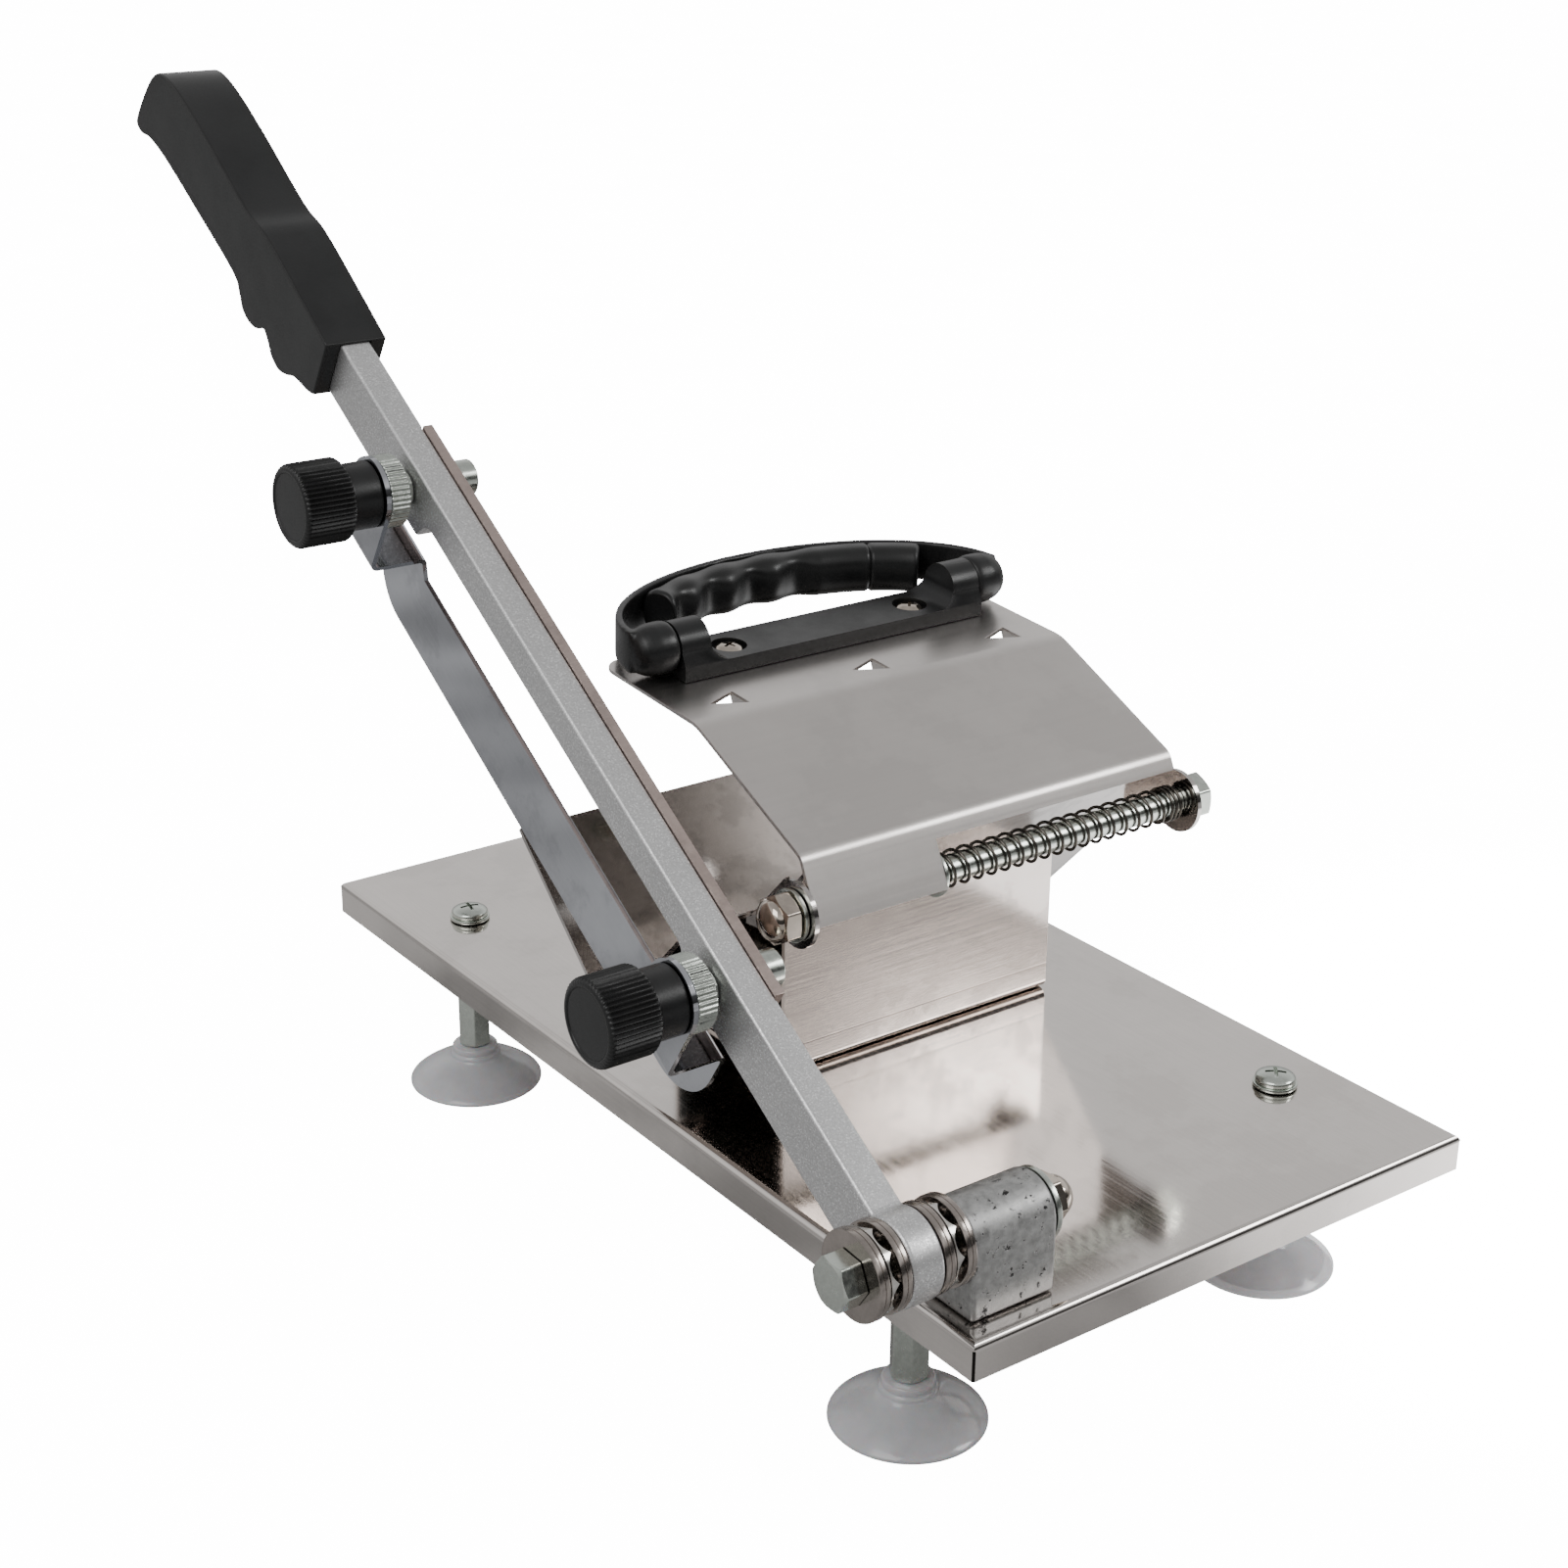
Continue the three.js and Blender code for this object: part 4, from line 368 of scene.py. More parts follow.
def rounded(corners, closed=True):
    """Corners are (a, b) or (a, b, radius), and each with a radius becomes an arc."""
    points = []
    count = len(corners)
    for i, corner in enumerate(corners):
        here = Vector(corner[:2])
        radius = corner[2] if len(corner) > 2 else 0
        if not radius or (not closed and i in (0, count - 1)):
            points.append(here)
            continue
        back = (Vector(corners[i - 1][:2]) - here).normalized()
        ahead = (Vector(corners[(i + 1) % count][:2]) - here).normalized()
        half = acos(max(-1, min(1, back.dot(ahead)))) / 2
        centre = here + (back + ahead).normalized() * (radius / sin(half))
        start = here + back * (radius / tan(half)) - centre
        side = 1 if back.x * ahead.y - back.y * ahead.x > 0 else -1
        turn = -side * (pi - 2 * half)
        steps = max(1, ceil(abs(turn) / ARC_STEP))
        points += [centre + Matrix.Rotation(turn * k / steps, 2) @ start for k in range(steps + 1)]
    return points


def bent_sheet(corners, sheet, bends):
    """The section of a sheet about the line through corners, with an inner radius for each bend."""
    radii = [0, *(bend + sheet / 2 for bend in bends), 0]
    line = rounded([(a, b, radius) for (a, b), radius in zip(corners, radii)], closed=False)
    sides = []
    for side in (1, -1):
        row = []
        for i, point in enumerate(line):
            along = (line[min(i + 1, len(line) - 1)] - line[max(i - 1, 0)]).normalized()
            row.append(point + Vector((-along.y, along.x)) * side * sheet / 2)
        sides.append(row)
    return sides[0] + sides[1][::-1]


def loft(sections, closed=False):
    """Closed sections of equal length, one after another, with flat ends or as a closed ring."""
    count, rows = len(sections[0]), len(sections)
    faces = []
    for row in range(rows if closed else rows - 1):
        low, high = row * count, (row + 1) % rows * count
        for k in range(count):
            n = (k + 1) % count
            faces.append((low + k, low + n, high + n, high + k))
    last = (rows - 1) * count
    ends = [] if closed else [tuple(range(count)), tuple(range(last, last + count))]
    return solid([point for section in sections for point in section], faces + ends)


def prism(outline, axis, low, high):
    return loft([[put(axis, p[0], p[1], depth) for p in outline] for depth in (low, high)])


def box(x, y, z):
    return prism([(x[0], y[0]), (x[1], y[0]), (x[1], y[1]), (x[0], y[1])], "z", *z)


def turned(profile, axis, centre=ORIGIN, sides=64, flutes=0):
    """Rows of profile are (radius, height) or (radius, height, flute depth)."""
    verts, rings = [], []
    for row in profile:
        radius, height = row[0], row[1]
        depth = row[2] if len(row) > 2 else 0
        count = sides if radius > CENTRED else 1
        rings.append(list(range(len(verts), len(verts) + count)))
        for k in range(count):
            angle = 2 * pi * k / sides
            reach = radius - depth * (0.5 - 0.5 * cos(flutes * angle))
            verts.append(around(axis, centre, reach, angle, height))
    faces = []
    for low, high in zip(rings, rings[1:]):
        for k in range(sides):
            n = (k + 1) % sides
            if len(low) == 1 and len(high) > 1:
                faces.append((low[0], high[k], high[n]))
            elif len(high) == 1 and len(low) > 1:
                faces.append((low[k], low[n], high[0]))
            elif len(low) > 1:
                faces.append((low[k], low[n], high[n], high[k]))
    return solid(verts, faces)


def mirrored(half, low, high):
    """A closed profile between low and high, from the rows of its lower half."""
    rows = [(radius, low + height, *rest) for radius, height, *rest in half]
    rows += [(radius, high - height, *rest) for radius, height, *rest in reversed(half)]
    return rows + rows[:1]


def dome(radius, start, rise, steps=12):
    """The profile of a cap that closes on the axis."""
    quarter = [pi / 2 * k / steps for k in range(steps)]
    rows = [(radius * cos(angle), start + rise * sin(angle)) for angle in quarter]
    return rows + [(0, start + rise)]


def rod(radius, axis, low, high, centre, sides=48, edge=0.0):
    profile = [(0, low), (radius - edge, low), (radius, low + edge)]
    profile += [(radius, high - edge), (radius - edge, high), (0, high)]
    return turned(profile, axis, centre, sides)


def ring(inner, outer, axis, low, high, centre, edge=0.25):
    """A washer or sleeve with rounded outer edges."""
    slant = edge * 0.3
    half = [(inner, 0), (outer - edge, 0), (outer - slant, slant), (outer, edge)]
    return turned(mirrored(half, low, high), axis, centre)


def tube(points, radius, sides):
    sections = []
    across = Vector((0, 1, 0))
    for i, point in enumerate(points):
        along = (points[min(i + 1, len(points) - 1)] - points[max(i - 1, 0)]).normalized()
        across = (across - along * across.dot(along)).normalized()
        up = along.cross(across)
        angles = [2 * pi * k / sides for k in range(sides)]
        sections.append([point + across * radius * cos(a) + up * radius * sin(a) for a in angles])
    return loft(sections)


FACET = 60
CORNER_ANGLES = (1.2, 2.6)
FACET_ANGLES = [0, *CORNER_ANGLES, *range(5, FACET, 5), *(FACET - a for a in reversed(CORNER_ANGLES))]
CHAMFER_SLOPE = tan(radians(28))
CHAMFER_FACE = 0.95  # the flat end's diameter as a share of the flats
CORNER_SHARE = 0.98  # the corners are rounded off here


def hexagon(flats, axis, low, high, centre, phase=0.0, chamfers=(True, True)):
    """A hexagon with a conical chamfer on either end and slightly rounded corners."""
    corner = flats / sqrt(3) * CORNER_SHARE
    face = flats / 2 * CHAMFER_FACE
    angles = [radians(FACET * side + place) for side in range(6) for place in FACET_ANGLES]
    reaches = [min(flats / 2 / cos(a % (pi / 3) - pi / 6), corner) for a in angles]
    rings = []
    for end, way, chamfered in ((low, 1, chamfers[0]), (high, -1, chamfers[1])):
        inner = [(face, end)] * len(angles)
        outer = [(reach, end + way * (reach - face) * CHAMFER_SLOPE) for reach in reaches]
        rows = [inner, outer] if chamfered else [[(reach, end) for reach in reaches]]
        rings += rows[::way]
    places = [[(reach, a + phase, height) for a, (reach, height) in zip(angles, row)] for row in rings]
    return loft([[around(axis, centre, *place) for place in row] for row in places])


# Changing and finishing
def settle(thing):
    graph = bpy.context.evaluated_depsgraph_get()
    mesh = bpy.data.meshes.new_from_object(
        thing.evaluated_get(graph), preserve_all_data_layers=True, depsgraph=graph
    )
    thing.modifiers.clear()
    thing.data = mesh
    return thing


def combine(first, operation, *others):
    for other in others:
        change = first.modifiers.new("change", "BOOLEAN")
        change.operation = operation
        change.solver = "EXACT"
        change.object = other
        settle(first)
        bpy.data.objects.remove(other)
    return first


def cut(first, *others):
    return combine(first, "DIFFERENCE", *others)


def join(first, *others):
    return combine(first, "UNION", *others)


def common(first, *others):
    return combine(first, "INTERSECT", *others)


def drill(first, radius, low, high, *centres):
    """Holes along x, from low to high and a little past both."""
    return cut(first, *(rod(radius, "x", low - PAST, high + PAST, centre) for centre in centres))


def gather(first, *others):
    """One object from several that don't touch."""
    body = bmesh.new()
    for thing in (first, *others):
        body.from_mesh(thing.data)
    body.to_mesh(first.data)
    body.free()
    for other in others:
        bpy.data.objects.remove(other)
    return first


def bevel(thing, width, segments=3, angle=35):
    """Rounds the edges that are sharper than angle."""
    change = thing.modifiers.new("bevel", "BEVEL")
    change.width = width
    change.segments = segments
    change.limit_method = "ANGLE"
    change.angle_limit = radians(angle)
    return settle(thing)


def smoothed(thing, size, rounds):
    """Melts joined shapes together, as a moulding has no inner corners."""
    remesh = thing.modifiers.new("remesh", "REMESH")
    remesh.mode = "VOXEL"
    remesh.voxel_size = size
    settle(thing)
    smooth = thing.modifiers.new("smooth", "SMOOTH")
    smooth.iterations = rounds
    return settle(thing)


def piece(thing, name, material, node, body="stand", matrix=STAND, angle=32):
    """Places, shades and names a shape, and says which body it rides and which node it replaces."""
    thing.name = name
    thing.data.name = name
    thing.data.transform(matrix)
    thing.data.shade_smooth()
    thing.data.set_sharp_from_angle(angle=radians(angle))
    weigh = thing.modifiers.new("weigh", "WEIGHTED_NORMAL")
    weigh.keep_sharp = True
    settle(thing)
    thing.data.materials.clear()
    thing.data.materials.append(MATERIALS[material])
    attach(thing, body)
    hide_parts(node)
    return thing


FACETED = 22  # shading angle that keeps a hexagon's chamfers crisp
CURVED = 50  # shading angles for knurls and lofts, and for soft or bent shapes
SOFT = 60


def cross_slot(head, place, turn, half_length, half_width, heights):
    for quarter in (0, 90):
        slot = box((-half_length, half_length), (-half_width, half_width), heights)
        spin = Matrix.Rotation(radians(turn + quarter), 4, "Z")
        slot.data.transform(Matrix.Translation(place) @ spin)
        cut(head, slot)


# Base pan
WIDTH = 180
LENGTH = 340
RIM = 11
BASE_SHEET = 1.5
BASE_BEND = 2.5
PAN_EDGE = 0.4
CORNERS = [(x, y) for x in (0, WIDTH) for y in (0, LENGTH)]
# How far inwards from each corner the painted-shade slabs are kept
SEAM_SHADE_SPAN = 3


def folded_box(inset, top, bottom, bend):
    """A block whose top edges are rounded, as two profiles have in common."""

    def profile(length):
        far = length - inset
        return rounded([(inset, bottom), (far, bottom), (far, top, bend), (inset, top, bend)])

    across = prism([(p.y, p.x) for p in profile(WIDTH)], "y", inset, LENGTH - inset)
    return common(across, prism(profile(LENGTH), "x", inset, WIDTH - inset))


def seam(x, y, half_width, reach, drop):
    """An upright slab across one corner of the base."""
    lean = radians(45 if (x == 0) == (y == 0) else -45)
    low, high, rounding = -RIM - drop, -BASE_BEND + drop, half_width * 0.9
    corners = [(-half_width, low), (half_width, low)]
    corners += [(half_width, high, rounding), (-half_width, high, rounding)]
    made = prism(rounded(corners), "x", -reach, reach)
    made.data.transform(Matrix.Translation((x, y, 0)) @ Matrix.Rotation(lean, 4, "Z"))
    return made


# A near-black slab inside one corner's slit: painted shade where the gap's shadow falls
def seam_shade_slab(x, y):
    shade_slab = seam(x, y, half_width=0.4, reach=1.75, drop=0)
    cut(shade_slab, seam(x, y, half_width=1, reach=0.45, drop=2))
    inward = Vector((1 if x == 0 else -1, 1 if y == 0 else -1, 0)).normalized() * SEAM_SHADE_SPAN
    inside = box(sorted((x, x + inward.x)), sorted((y, y + inward.y)), (-RIM - PAST, 0))
    return common(shade_slab, inside)


inside_of_pan = folded_box(BASE_SHEET, -BASE_SHEET, -RIM - PAST, BASE_BEND - BASE_SHEET)
pan = cut(folded_box(0, 0, -RIM, BASE_BEND), inside_of_pan)
for x, y in CORNERS:
    cut(pan, seam(x, y, half_width=0.42, reach=1.8, drop=0.6))
piece(bevel(pan, PAN_EDGE, 3, 40), "pan", "satin_steel", "base_plate")
# Each corner slit gets a near-black slab, painted shade for the shadow in the gap
for number, (x, y) in enumerate(CORNERS, 1):
    piece(seam_shade_slab(x, y), f"seam_{number}", "painted_seam_shade", "base_plate")

# Feet
FOOT_SIDE_INSET = 22
FOOT_END_INSET = 51.5
FOOT_ROWS = (FOOT_END_INSET, LENGTH - FOOT_END_INSET)
FEET = [(x, y) for y in FOOT_ROWS for x in (FOOT_SIDE_INSET, WIDTH - FOOT_SIDE_INSET)]
PILLAR_FLATS = 10
PILLAR_TOP = -BASE_SHEET - GAP
PILLAR_BOTTOM = PILLAR_TOP - 44.2
SPIGOT = 5.5
CUP_HEIGHT = 13.3
CUP_BOTTOM = PILLAR_BOTTOM - GAP - CUP_HEIGHT
SCREW_RADIUS = 2.5
SCREW_REACH = 11
SCREW_HEAD_RADIUS = 6
WASHER_RADIUS = 6.6
WASHER_TOP = GAP + 1.1
FIRST_TURN, NEXT_TURN = 17, 31  # the cross slots stand at different angles, in degrees
CUP = [  # radius and height above the floor: hollow, bell, neck, collar and socket
    *[(0, 3.4), (5, 3.35), (9.1, 2.9), (13.5, 1.6), (17, 0.35), (18.2, 0)],
    *[(22.2, 0), (22.2, 0.5), (21.9, 1.0), (20.9, 1.9), (19.1, 3.2), (16.9, 4.6), (14.2, 5.9), (11.6, 7.1)],
    *[(9.8, 8.2), (8.7, 9.0), (8.3, 9.6), (8.3, 10.3), (7.7, 10.7), (7.5, 11.1), (7.7, 11.5), (7.6, 12.6)],
    *[(7.0, CUP_HEIGHT), (2.9, CUP_HEIGHT), (2.9, 7.5), (0, 7.5)],
]


def foot_screw(x, y, turn):
    place = (x, y, 0)
    washer = ring(SCREW_RADIUS, WASHER_RADIUS, "z", GAP, WASHER_TOP, place, 0.3)
    side = [(0, 0), (SCREW_HEAD_RADIUS - 0.3, 0), (SCREW_HEAD_RADIUS, 0.3), (SCREW_HEAD_RADIUS, 1.0)]
    profile = [(radius, WASHER_TOP + height) for radius, height in side]
    head = turned(profile + dome(SCREW_HEAD_RADIUS, WASHER_TOP + 1.2, 2.0), "z", place)
    cross_slot(head, place, turn, 3.1, 0.55, (WASHER_TOP + 1.6, WASHER_TOP + 5))
    shank = rod(SCREW_RADIUS, "z", PILLAR_TOP - SCREW_REACH, WASHER_TOP + 0.4, place, 24)
    return join(bevel(head, 0.18, 2), washer, shank)


def pillar(x, y):
    spigot = rod(SCREW_RADIUS, "z", PILLAR_BOTTOM - SPIGOT, PILLAR_BOTTOM + PAST, (x, y, 0), 24)
    return join(hexagon(PILLAR_FLATS, "z", PILLAR_BOTTOM, PILLAR_TOP, (x, y, 0)), spigot)


def suction_cup(x, y):
    return turned([(radius, CUP_BOTTOM + height) for radius, height in CUP], "z", (x, y, 0), 96)


for number, (x, y) in enumerate(FEET, 1):
    screw = foot_screw(x, y, FIRST_TURN + NEXT_TURN * (number - 1))
    piece(screw, f"base_screw_{number}", "zinc", f"foot_screw_{number}")
    piece(pillar(x, y), f"pillar_{number}", "zinc", f"foot_pillar_{number}", angle=FACETED)
    piece(suction_cup(x, y), f"cup_{number}", "soft_pvc", f"suction_cup_{number}", angle=SOFT)

# Places along the pivot bolt, from the arm outwards on both sides
ARM_LEFT, ARM_RIGHT = -15.4, -5.6
RACE = 3.2
CAGE = 2.9
BEARING = RACE + GAP + CAGE + GAP + RACE
BEARING_1_LEFT = ARM_LEFT - GAP - BEARING
BEARING_2_LEFT = ARM_RIGHT + GAP
BLOCK_LEFT = BEARING_2_LEFT + BEARING + GAP
BLOCK_RIGHT = BLOCK_LEFT + 27.4
BOLT_WASHER_LEFT = BLOCK_RIGHT + GAP
BOLT_WASHER_RIGHT = BOLT_WASHER_LEFT + 1.6

# Pivot block and bolt
BOLT_FLATS = 13
BOLT_RADIUS = 5
BOLT_BORE = BOLT_RADIUS + RUN
BOLT_HEAD = 6.4
BOLT_HEAD_TURN = radians(4)
BOLT_WASHER_RADIUS = 10
THREAD_RADIUS = 4
THREAD_END = 40.5
BLOCK_FRONT, BLOCK_BACK, BLOCK_TOP = 6.9, 27.5, 30.6
BLOCK_ROUNDING = 10.05


def cap_nut(flats, base, height, radius, rise, bore, centre, side, phase):
    """A hexagon with a dome. Its base faces left for side 1 and right for side -1."""
    end = base + side * height
    made = hexagon(flats, "x", min(base, end), max(base, end), centre, phase)
    start = end - side * height / 2
    profile = [(0, start), (radius, start)] + [(r, end + side * h) for r, h in dome(radius, 0, rise)]
    join(made, turned(profile, "x", centre))
    depth = base + side * (height + rise / 2)
    return cut(made, rod(bore, "x", min(base - side, depth), max(base - side, depth), centre))


def pivot_block():
    arch = [(BLOCK_BACK, BLOCK_TOP, BLOCK_ROUNDING), (BLOCK_FRONT, BLOCK_TOP, BLOCK_ROUNDING)]
    outline = rounded([(BLOCK_FRONT, GAP), (BLOCK_BACK, GAP), *arch])
    made = bevel(prism(outline, "x", BLOCK_LEFT, BLOCK_RIGHT), 1.3, 4)
    return drill(made, BOLT_BORE, BLOCK_LEFT, BLOCK_RIGHT, PIVOT)


def pivot_bolt():
    right = BEARING_1_LEFT - GAP
    head = hexagon(BOLT_FLATS, "x", right - BOLT_HEAD, right, PIVOT, BOLT_HEAD_TURN, (True, False))
    shank = rod(BOLT_RADIUS, "x", right - BOLT_HEAD / 2, BOLT_WASHER_RIGHT, PIVOT)
    return join(head, shank, rod(THREAD_RADIUS, "x", BLOCK_RIGHT - 2, THREAD_END, PIVOT))


piece(pivot_block(), "cast_block", "cast_block", "pivot_block")
piece(pivot_bolt(), "axle_bolt", "zinc", "pivot_bolt", angle=FACETED)
washer = ring(BOLT_BORE, BOLT_WASHER_RADIUS, "x", BOLT_WASHER_LEFT, BOLT_WASHER_RIGHT, PIVOT)
piece(washer, "axle_washer", "zinc", "pivot_washer")
nut = cap_nut(BOLT_FLATS, BOLT_WASHER_RIGHT + GAP, 4.4, 5.9, 5.5, THREAD_RADIUS + RUN, PIVOT, 1, 0)
piece(nut, "axle_cap_nut", "chrome", "pivot_cap_nut", angle=FACETED)

# Thrust bearings: grooved races, and pressed cages with balls
RACE_RADIUS = 12.1
CAGE_BORE = 5.6
CAGE_POINTS = 9
CAGE_SIDES = 216
CAGE_TURN = 0.2
POINT_SHARPNESS = 1.25
POINT_ROOT, POINT_RISE = -0.62, 1.85
BALL_RADIUS = 1.3
BALL_CIRCLE = 8.7
BALL_SHIFT = 0.1


def race(left, name, body, node):
    """A hardened ring with a groove around its middle."""
    half = [(BOLT_BORE, 0), (RACE_RADIUS - 0.5, 0), (RACE_RADIUS - 0.1, 0.15), (RACE_RADIUS, 0.5)]
    half += [(RACE_RADIUS, 1.35), (RACE_RADIUS - 0.25, 1.5)]
    made = turned(mirrored(half, left, left + RACE), "x", PIVOT, 96)
    return piece(made, name, "race_steel", node, body, angle=40)


def ball(centre):
    half = dome(BALL_RADIUS, 0, BALL_RADIUS, steps=5)
    return turned([(radius, -height) for radius, height in half[:0:-1]] + half, "x", centre, 20)


def cage(left, name, body, node):
    """A pressed ring: flat disc, plain rim on the left, points reaching to the right, a ball behind each."""
    middle = left + CAGE / 2
    rings = []
    for k in range(CAGE_SIDES):
        angle = 2 * pi * k / CAGE_SIDES
        point = (1 - abs(sin(CAGE_POINTS / 2 * angle))) ** POINT_SHARPNESS
        edge = POINT_ROOT + POINT_RISE * point
        rows = [(CAGE_BORE, -1.3), (11.3, -1.3), (11.6, -1.1), (11.45, edge), (11.05, edge)]
        rows += [(11.1, -0.85), (CAGE_BORE, -0.85)]
        turn = angle + CAGE_TURN
        rings.append([around("x", PIVOT, radius, turn, middle + depth) for radius, depth in rows])
    made = loft(rings, closed=True)
    turns = [2 * pi * k / CAGE_POINTS + CAGE_TURN for k in range(CAGE_POINTS)]
    gather(made, *(ball(around("x", PIVOT, BALL_CIRCLE, turn, middle + BALL_SHIFT)) for turn in turns))
    return piece(made, name, "cage_steel", node, body, angle=40)


BEARINGS = ((1, BEARING_1_LEFT, "stand", "lever"), (2, BEARING_2_LEFT, "lever", "stand"))
for number, left, left_body, right_body in BEARINGS:
    cage_left = left + RACE + GAP
    race(left, f"race_{number}_left", left_body, f"bearing_{number}_race_left")
    cage(cage_left, f"cage_ring_{number}", f"cage_{number}", f"bearing_{number}_cage")
    race(cage_left + CAGE + GAP, f"race_{number}_right", right_body, f"bearing_{number}_race_right")

# Lever arm: eye on the pivot, relief below its middle, and a tang inside the grip
ARM_TOP = 6.7
EYE_RADIUS = 12.3
EYE_STEPS = 40
ARM_BOTTOM = -EYE_RADIUS
ARM_END = 330
TANG_END = 430
TANG_INSET = 3
RELIEF = -4.7
RELIEF_FROM, RELIEF_TO = 98.3, 260.2
RELIEF_SLANT = 3.8
REBATE = -6.4
BLADE_FROM, BLADE_TO = 74.25, 284.25
STUDS = [(0, along, -2.8) for along in (87.5, 271)]
STUD_RADIUS = 3
STUD_BORE = STUD_RADIUS + RUN


def lever_arm():
    start = asin(ARM_TOP / EYE_RADIUS)
    turns = [start + (1.5 * pi - start) * k / EYE_STEPS for k in range(EYE_STEPS)]
    relief = [(RELIEF_FROM, ARM_BOTTOM, 2), (RELIEF_FROM + RELIEF_SLANT, RELIEF, 4)]
    relief += [(RELIEF_TO - RELIEF_SLANT, RELIEF, 4), (RELIEF_TO, ARM_BOTTOM, 2)]
    low, high = ARM_BOTTOM + TANG_INSET, ARM_TOP - TANG_INSET
    tang = [(ARM_END, ARM_BOTTOM), (ARM_END, low), (TANG_END, low), (TANG_END, high)]
    tang += [(ARM_END, high), (ARM_END, ARM_TOP)]
    outline = rounded([(0, ARM_BOTTOM), *relief, *tang], closed=False)
    outline += [Vector((EYE_RADIUS * cos(a), EYE_RADIUS * sin(a))) for a in turns]
    made = bevel(prism(outline, "x", ARM_LEFT, ARM_RIGHT), 1.1, 4)
    drill(made, BOLT_BORE, ARM_LEFT, ARM_RIGHT, ORIGIN)
    height = (ARM_BOTTOM - PAST, ARM_TOP + PAST)
    cut(made, box((REBATE, ARM_RIGHT + PAST), (BLADE_FROM - PAST, BLADE_TO + PAST), height))
    return drill(made, STUD_BORE, ARM_LEFT, ARM_RIGHT, *STUDS)


piece(lever_arm(), "arm", "cast_aluminium", "lever_arm", "lever", LEVER)

# Blade
BLADE_LEFT, BLADE_RIGHT = -6.1, -3.1
BLADE_TOP, BLADE_BOTTOM = 7.6, -21.9
BLADE_BEVEL = 7
BLADE_EDGE = 0.4


def blade():
    edge = [(BLADE_BOTTOM + BLADE_BEVEL, BLADE_LEFT), (BLADE_BOTTOM, BLADE_RIGHT - BLADE_EDGE)]
    section = [(BLADE_TOP, BLADE_LEFT), *edge, (BLADE_BOTTOM, BLADE_RIGHT), (BLADE_TOP, BLADE_RIGHT)]
    made = bevel(prism(section, "y", BLADE_FROM, BLADE_TO), 0.15, 2, 30)
    return drill(made, STUD_BORE, BLADE_LEFT, BLADE_RIGHT, *STUDS)


piece(blade(), "knife", "blade_steel", "blade", "lever", LEVER)

# Lever grip: its outline as shares of its length and height, around from the top of the arm's end
GRIP_FROM = ARM_END - 9
GRIP_LENGTH = 136.5
GRIP_TOP = 8.8
GRIP_HEIGHT = 26
GRIP_LEFT, GRIP_RIGHT = -20.5, -0.5
GRIP_SHARES = [
    *[(0.0, -0.05), (0.13, 0.0), (0.33, 0.06), (0.44, -0.01), (0.67, 0.05), (0.83, 0.05)],
    *[(0.92, -0.05), (0.962, -0.26), (0.985, -0.6), (1.0, -1.0), (0.994, -1.12), (0.965, -1.13)],
    *[(0.92, -1.03), (0.83, -0.97), (0.66, -0.96), (0.44, -0.965)],
    *[(0.39, -1.08), (0.36, -1.21), (0.32, -1.23), (0.285, -1.16), (0.258, -1.03)],
    *[(0.225, -1.1), (0.2, -1.19), (0.16, -1.21), (0.125, -1.12), (0.09, -0.99)],
    *[(0.03, -0.9), (0.0, -0.82)],
]


def spline(points, steps=5):
    line = []
    for i in range(len(points) - 1):
        p = [Vector(points[max(0, min(len(points) - 1, i + k))]) for k in (-1, 0, 1, 2)]
        for step in range(steps):
            t = step / steps
            first = (p[2] - p[0]) * t
            second = (2 * p[0] - 5 * p[1] + 4 * p[2] - p[3]) * t * t
            third = (3 * p[1] - p[0] - 3 * p[2] + p[3]) * t * t * t
            line.append(0.5 * (2 * p[1] + first + second + third))
    return line + [Vector(points[-1])]


def lever_grip():
    outline = spline([(GRIP_FROM + GRIP_LENGTH * a, GRIP_TOP + GRIP_HEIGHT * b) for a, b in GRIP_SHARES])
    made = bevel(prism(outline, "x", GRIP_LEFT, GRIP_RIGHT), 3.0, 5, 50)
    sides = (ARM_LEFT - GAP, ARM_RIGHT + GAP)
    cut(made, box(sides, (GRIP_FROM - PAST, ARM_END + GAP), (ARM_BOTTOM - GAP, ARM_TOP + GAP)))
    inset = TANG_INSET - GAP
    return cut(made, box(sides, (ARM_END, TANG_END + GAP), (ARM_BOTTOM + inset, ARM_TOP - inset)))


piece(lever_grip(), "hilt", "black_plastic", "lever_grip", "lever", LEVER)

# Studs with thin nuts, knurled nuts and knobs. Depths run to the left from the blade.
KNURL_TEETH = 44
KNURL_LEFT, KNURL_RIGHT = -25.6, -19.2
KNURL_HALF = [(STUD_BORE, 0), (9.9, 0), (10.4, 0.3, 0.1), (10.7, 0.7, 0.55)]
STUD_HEAD = [(0, -2.8), (5.4, -2.8), (5.4, 5.1), (5.2, 5.5), (4.8, 5.8), (0, 5.8)]
STUD_LEFT, STUD_RIGHT = -49, -2
THIN_NUT_FLATS = 10
THIN_NUT_LEFT, THIN_NUT_RIGHT = -17.5, -15.7
KNOB_FLUTES = 52
KNOB = [  # bore, collar, fluted cap and face
    *[(0, -50.2), (STUD_BORE, -50.2), (STUD_BORE, -27.7)],
    *[(9.5, -27.7), (9.8, -28.0), (9.75, -36.0), (9.9, -36.9)],
    *[(10.9, -37.0), (11.7, -37.3, 0.2), (12.2, -38.0, 0.75), (12.2, -51.2, 0.75)],
    *[(11.9, -52.0, 0.35), (11.2, -52.5), (10.3, -52.7), (9.9, -52.6)],
    *[(9.7, -52.3), (9.5, -52.4), (0, -52.4)],
]
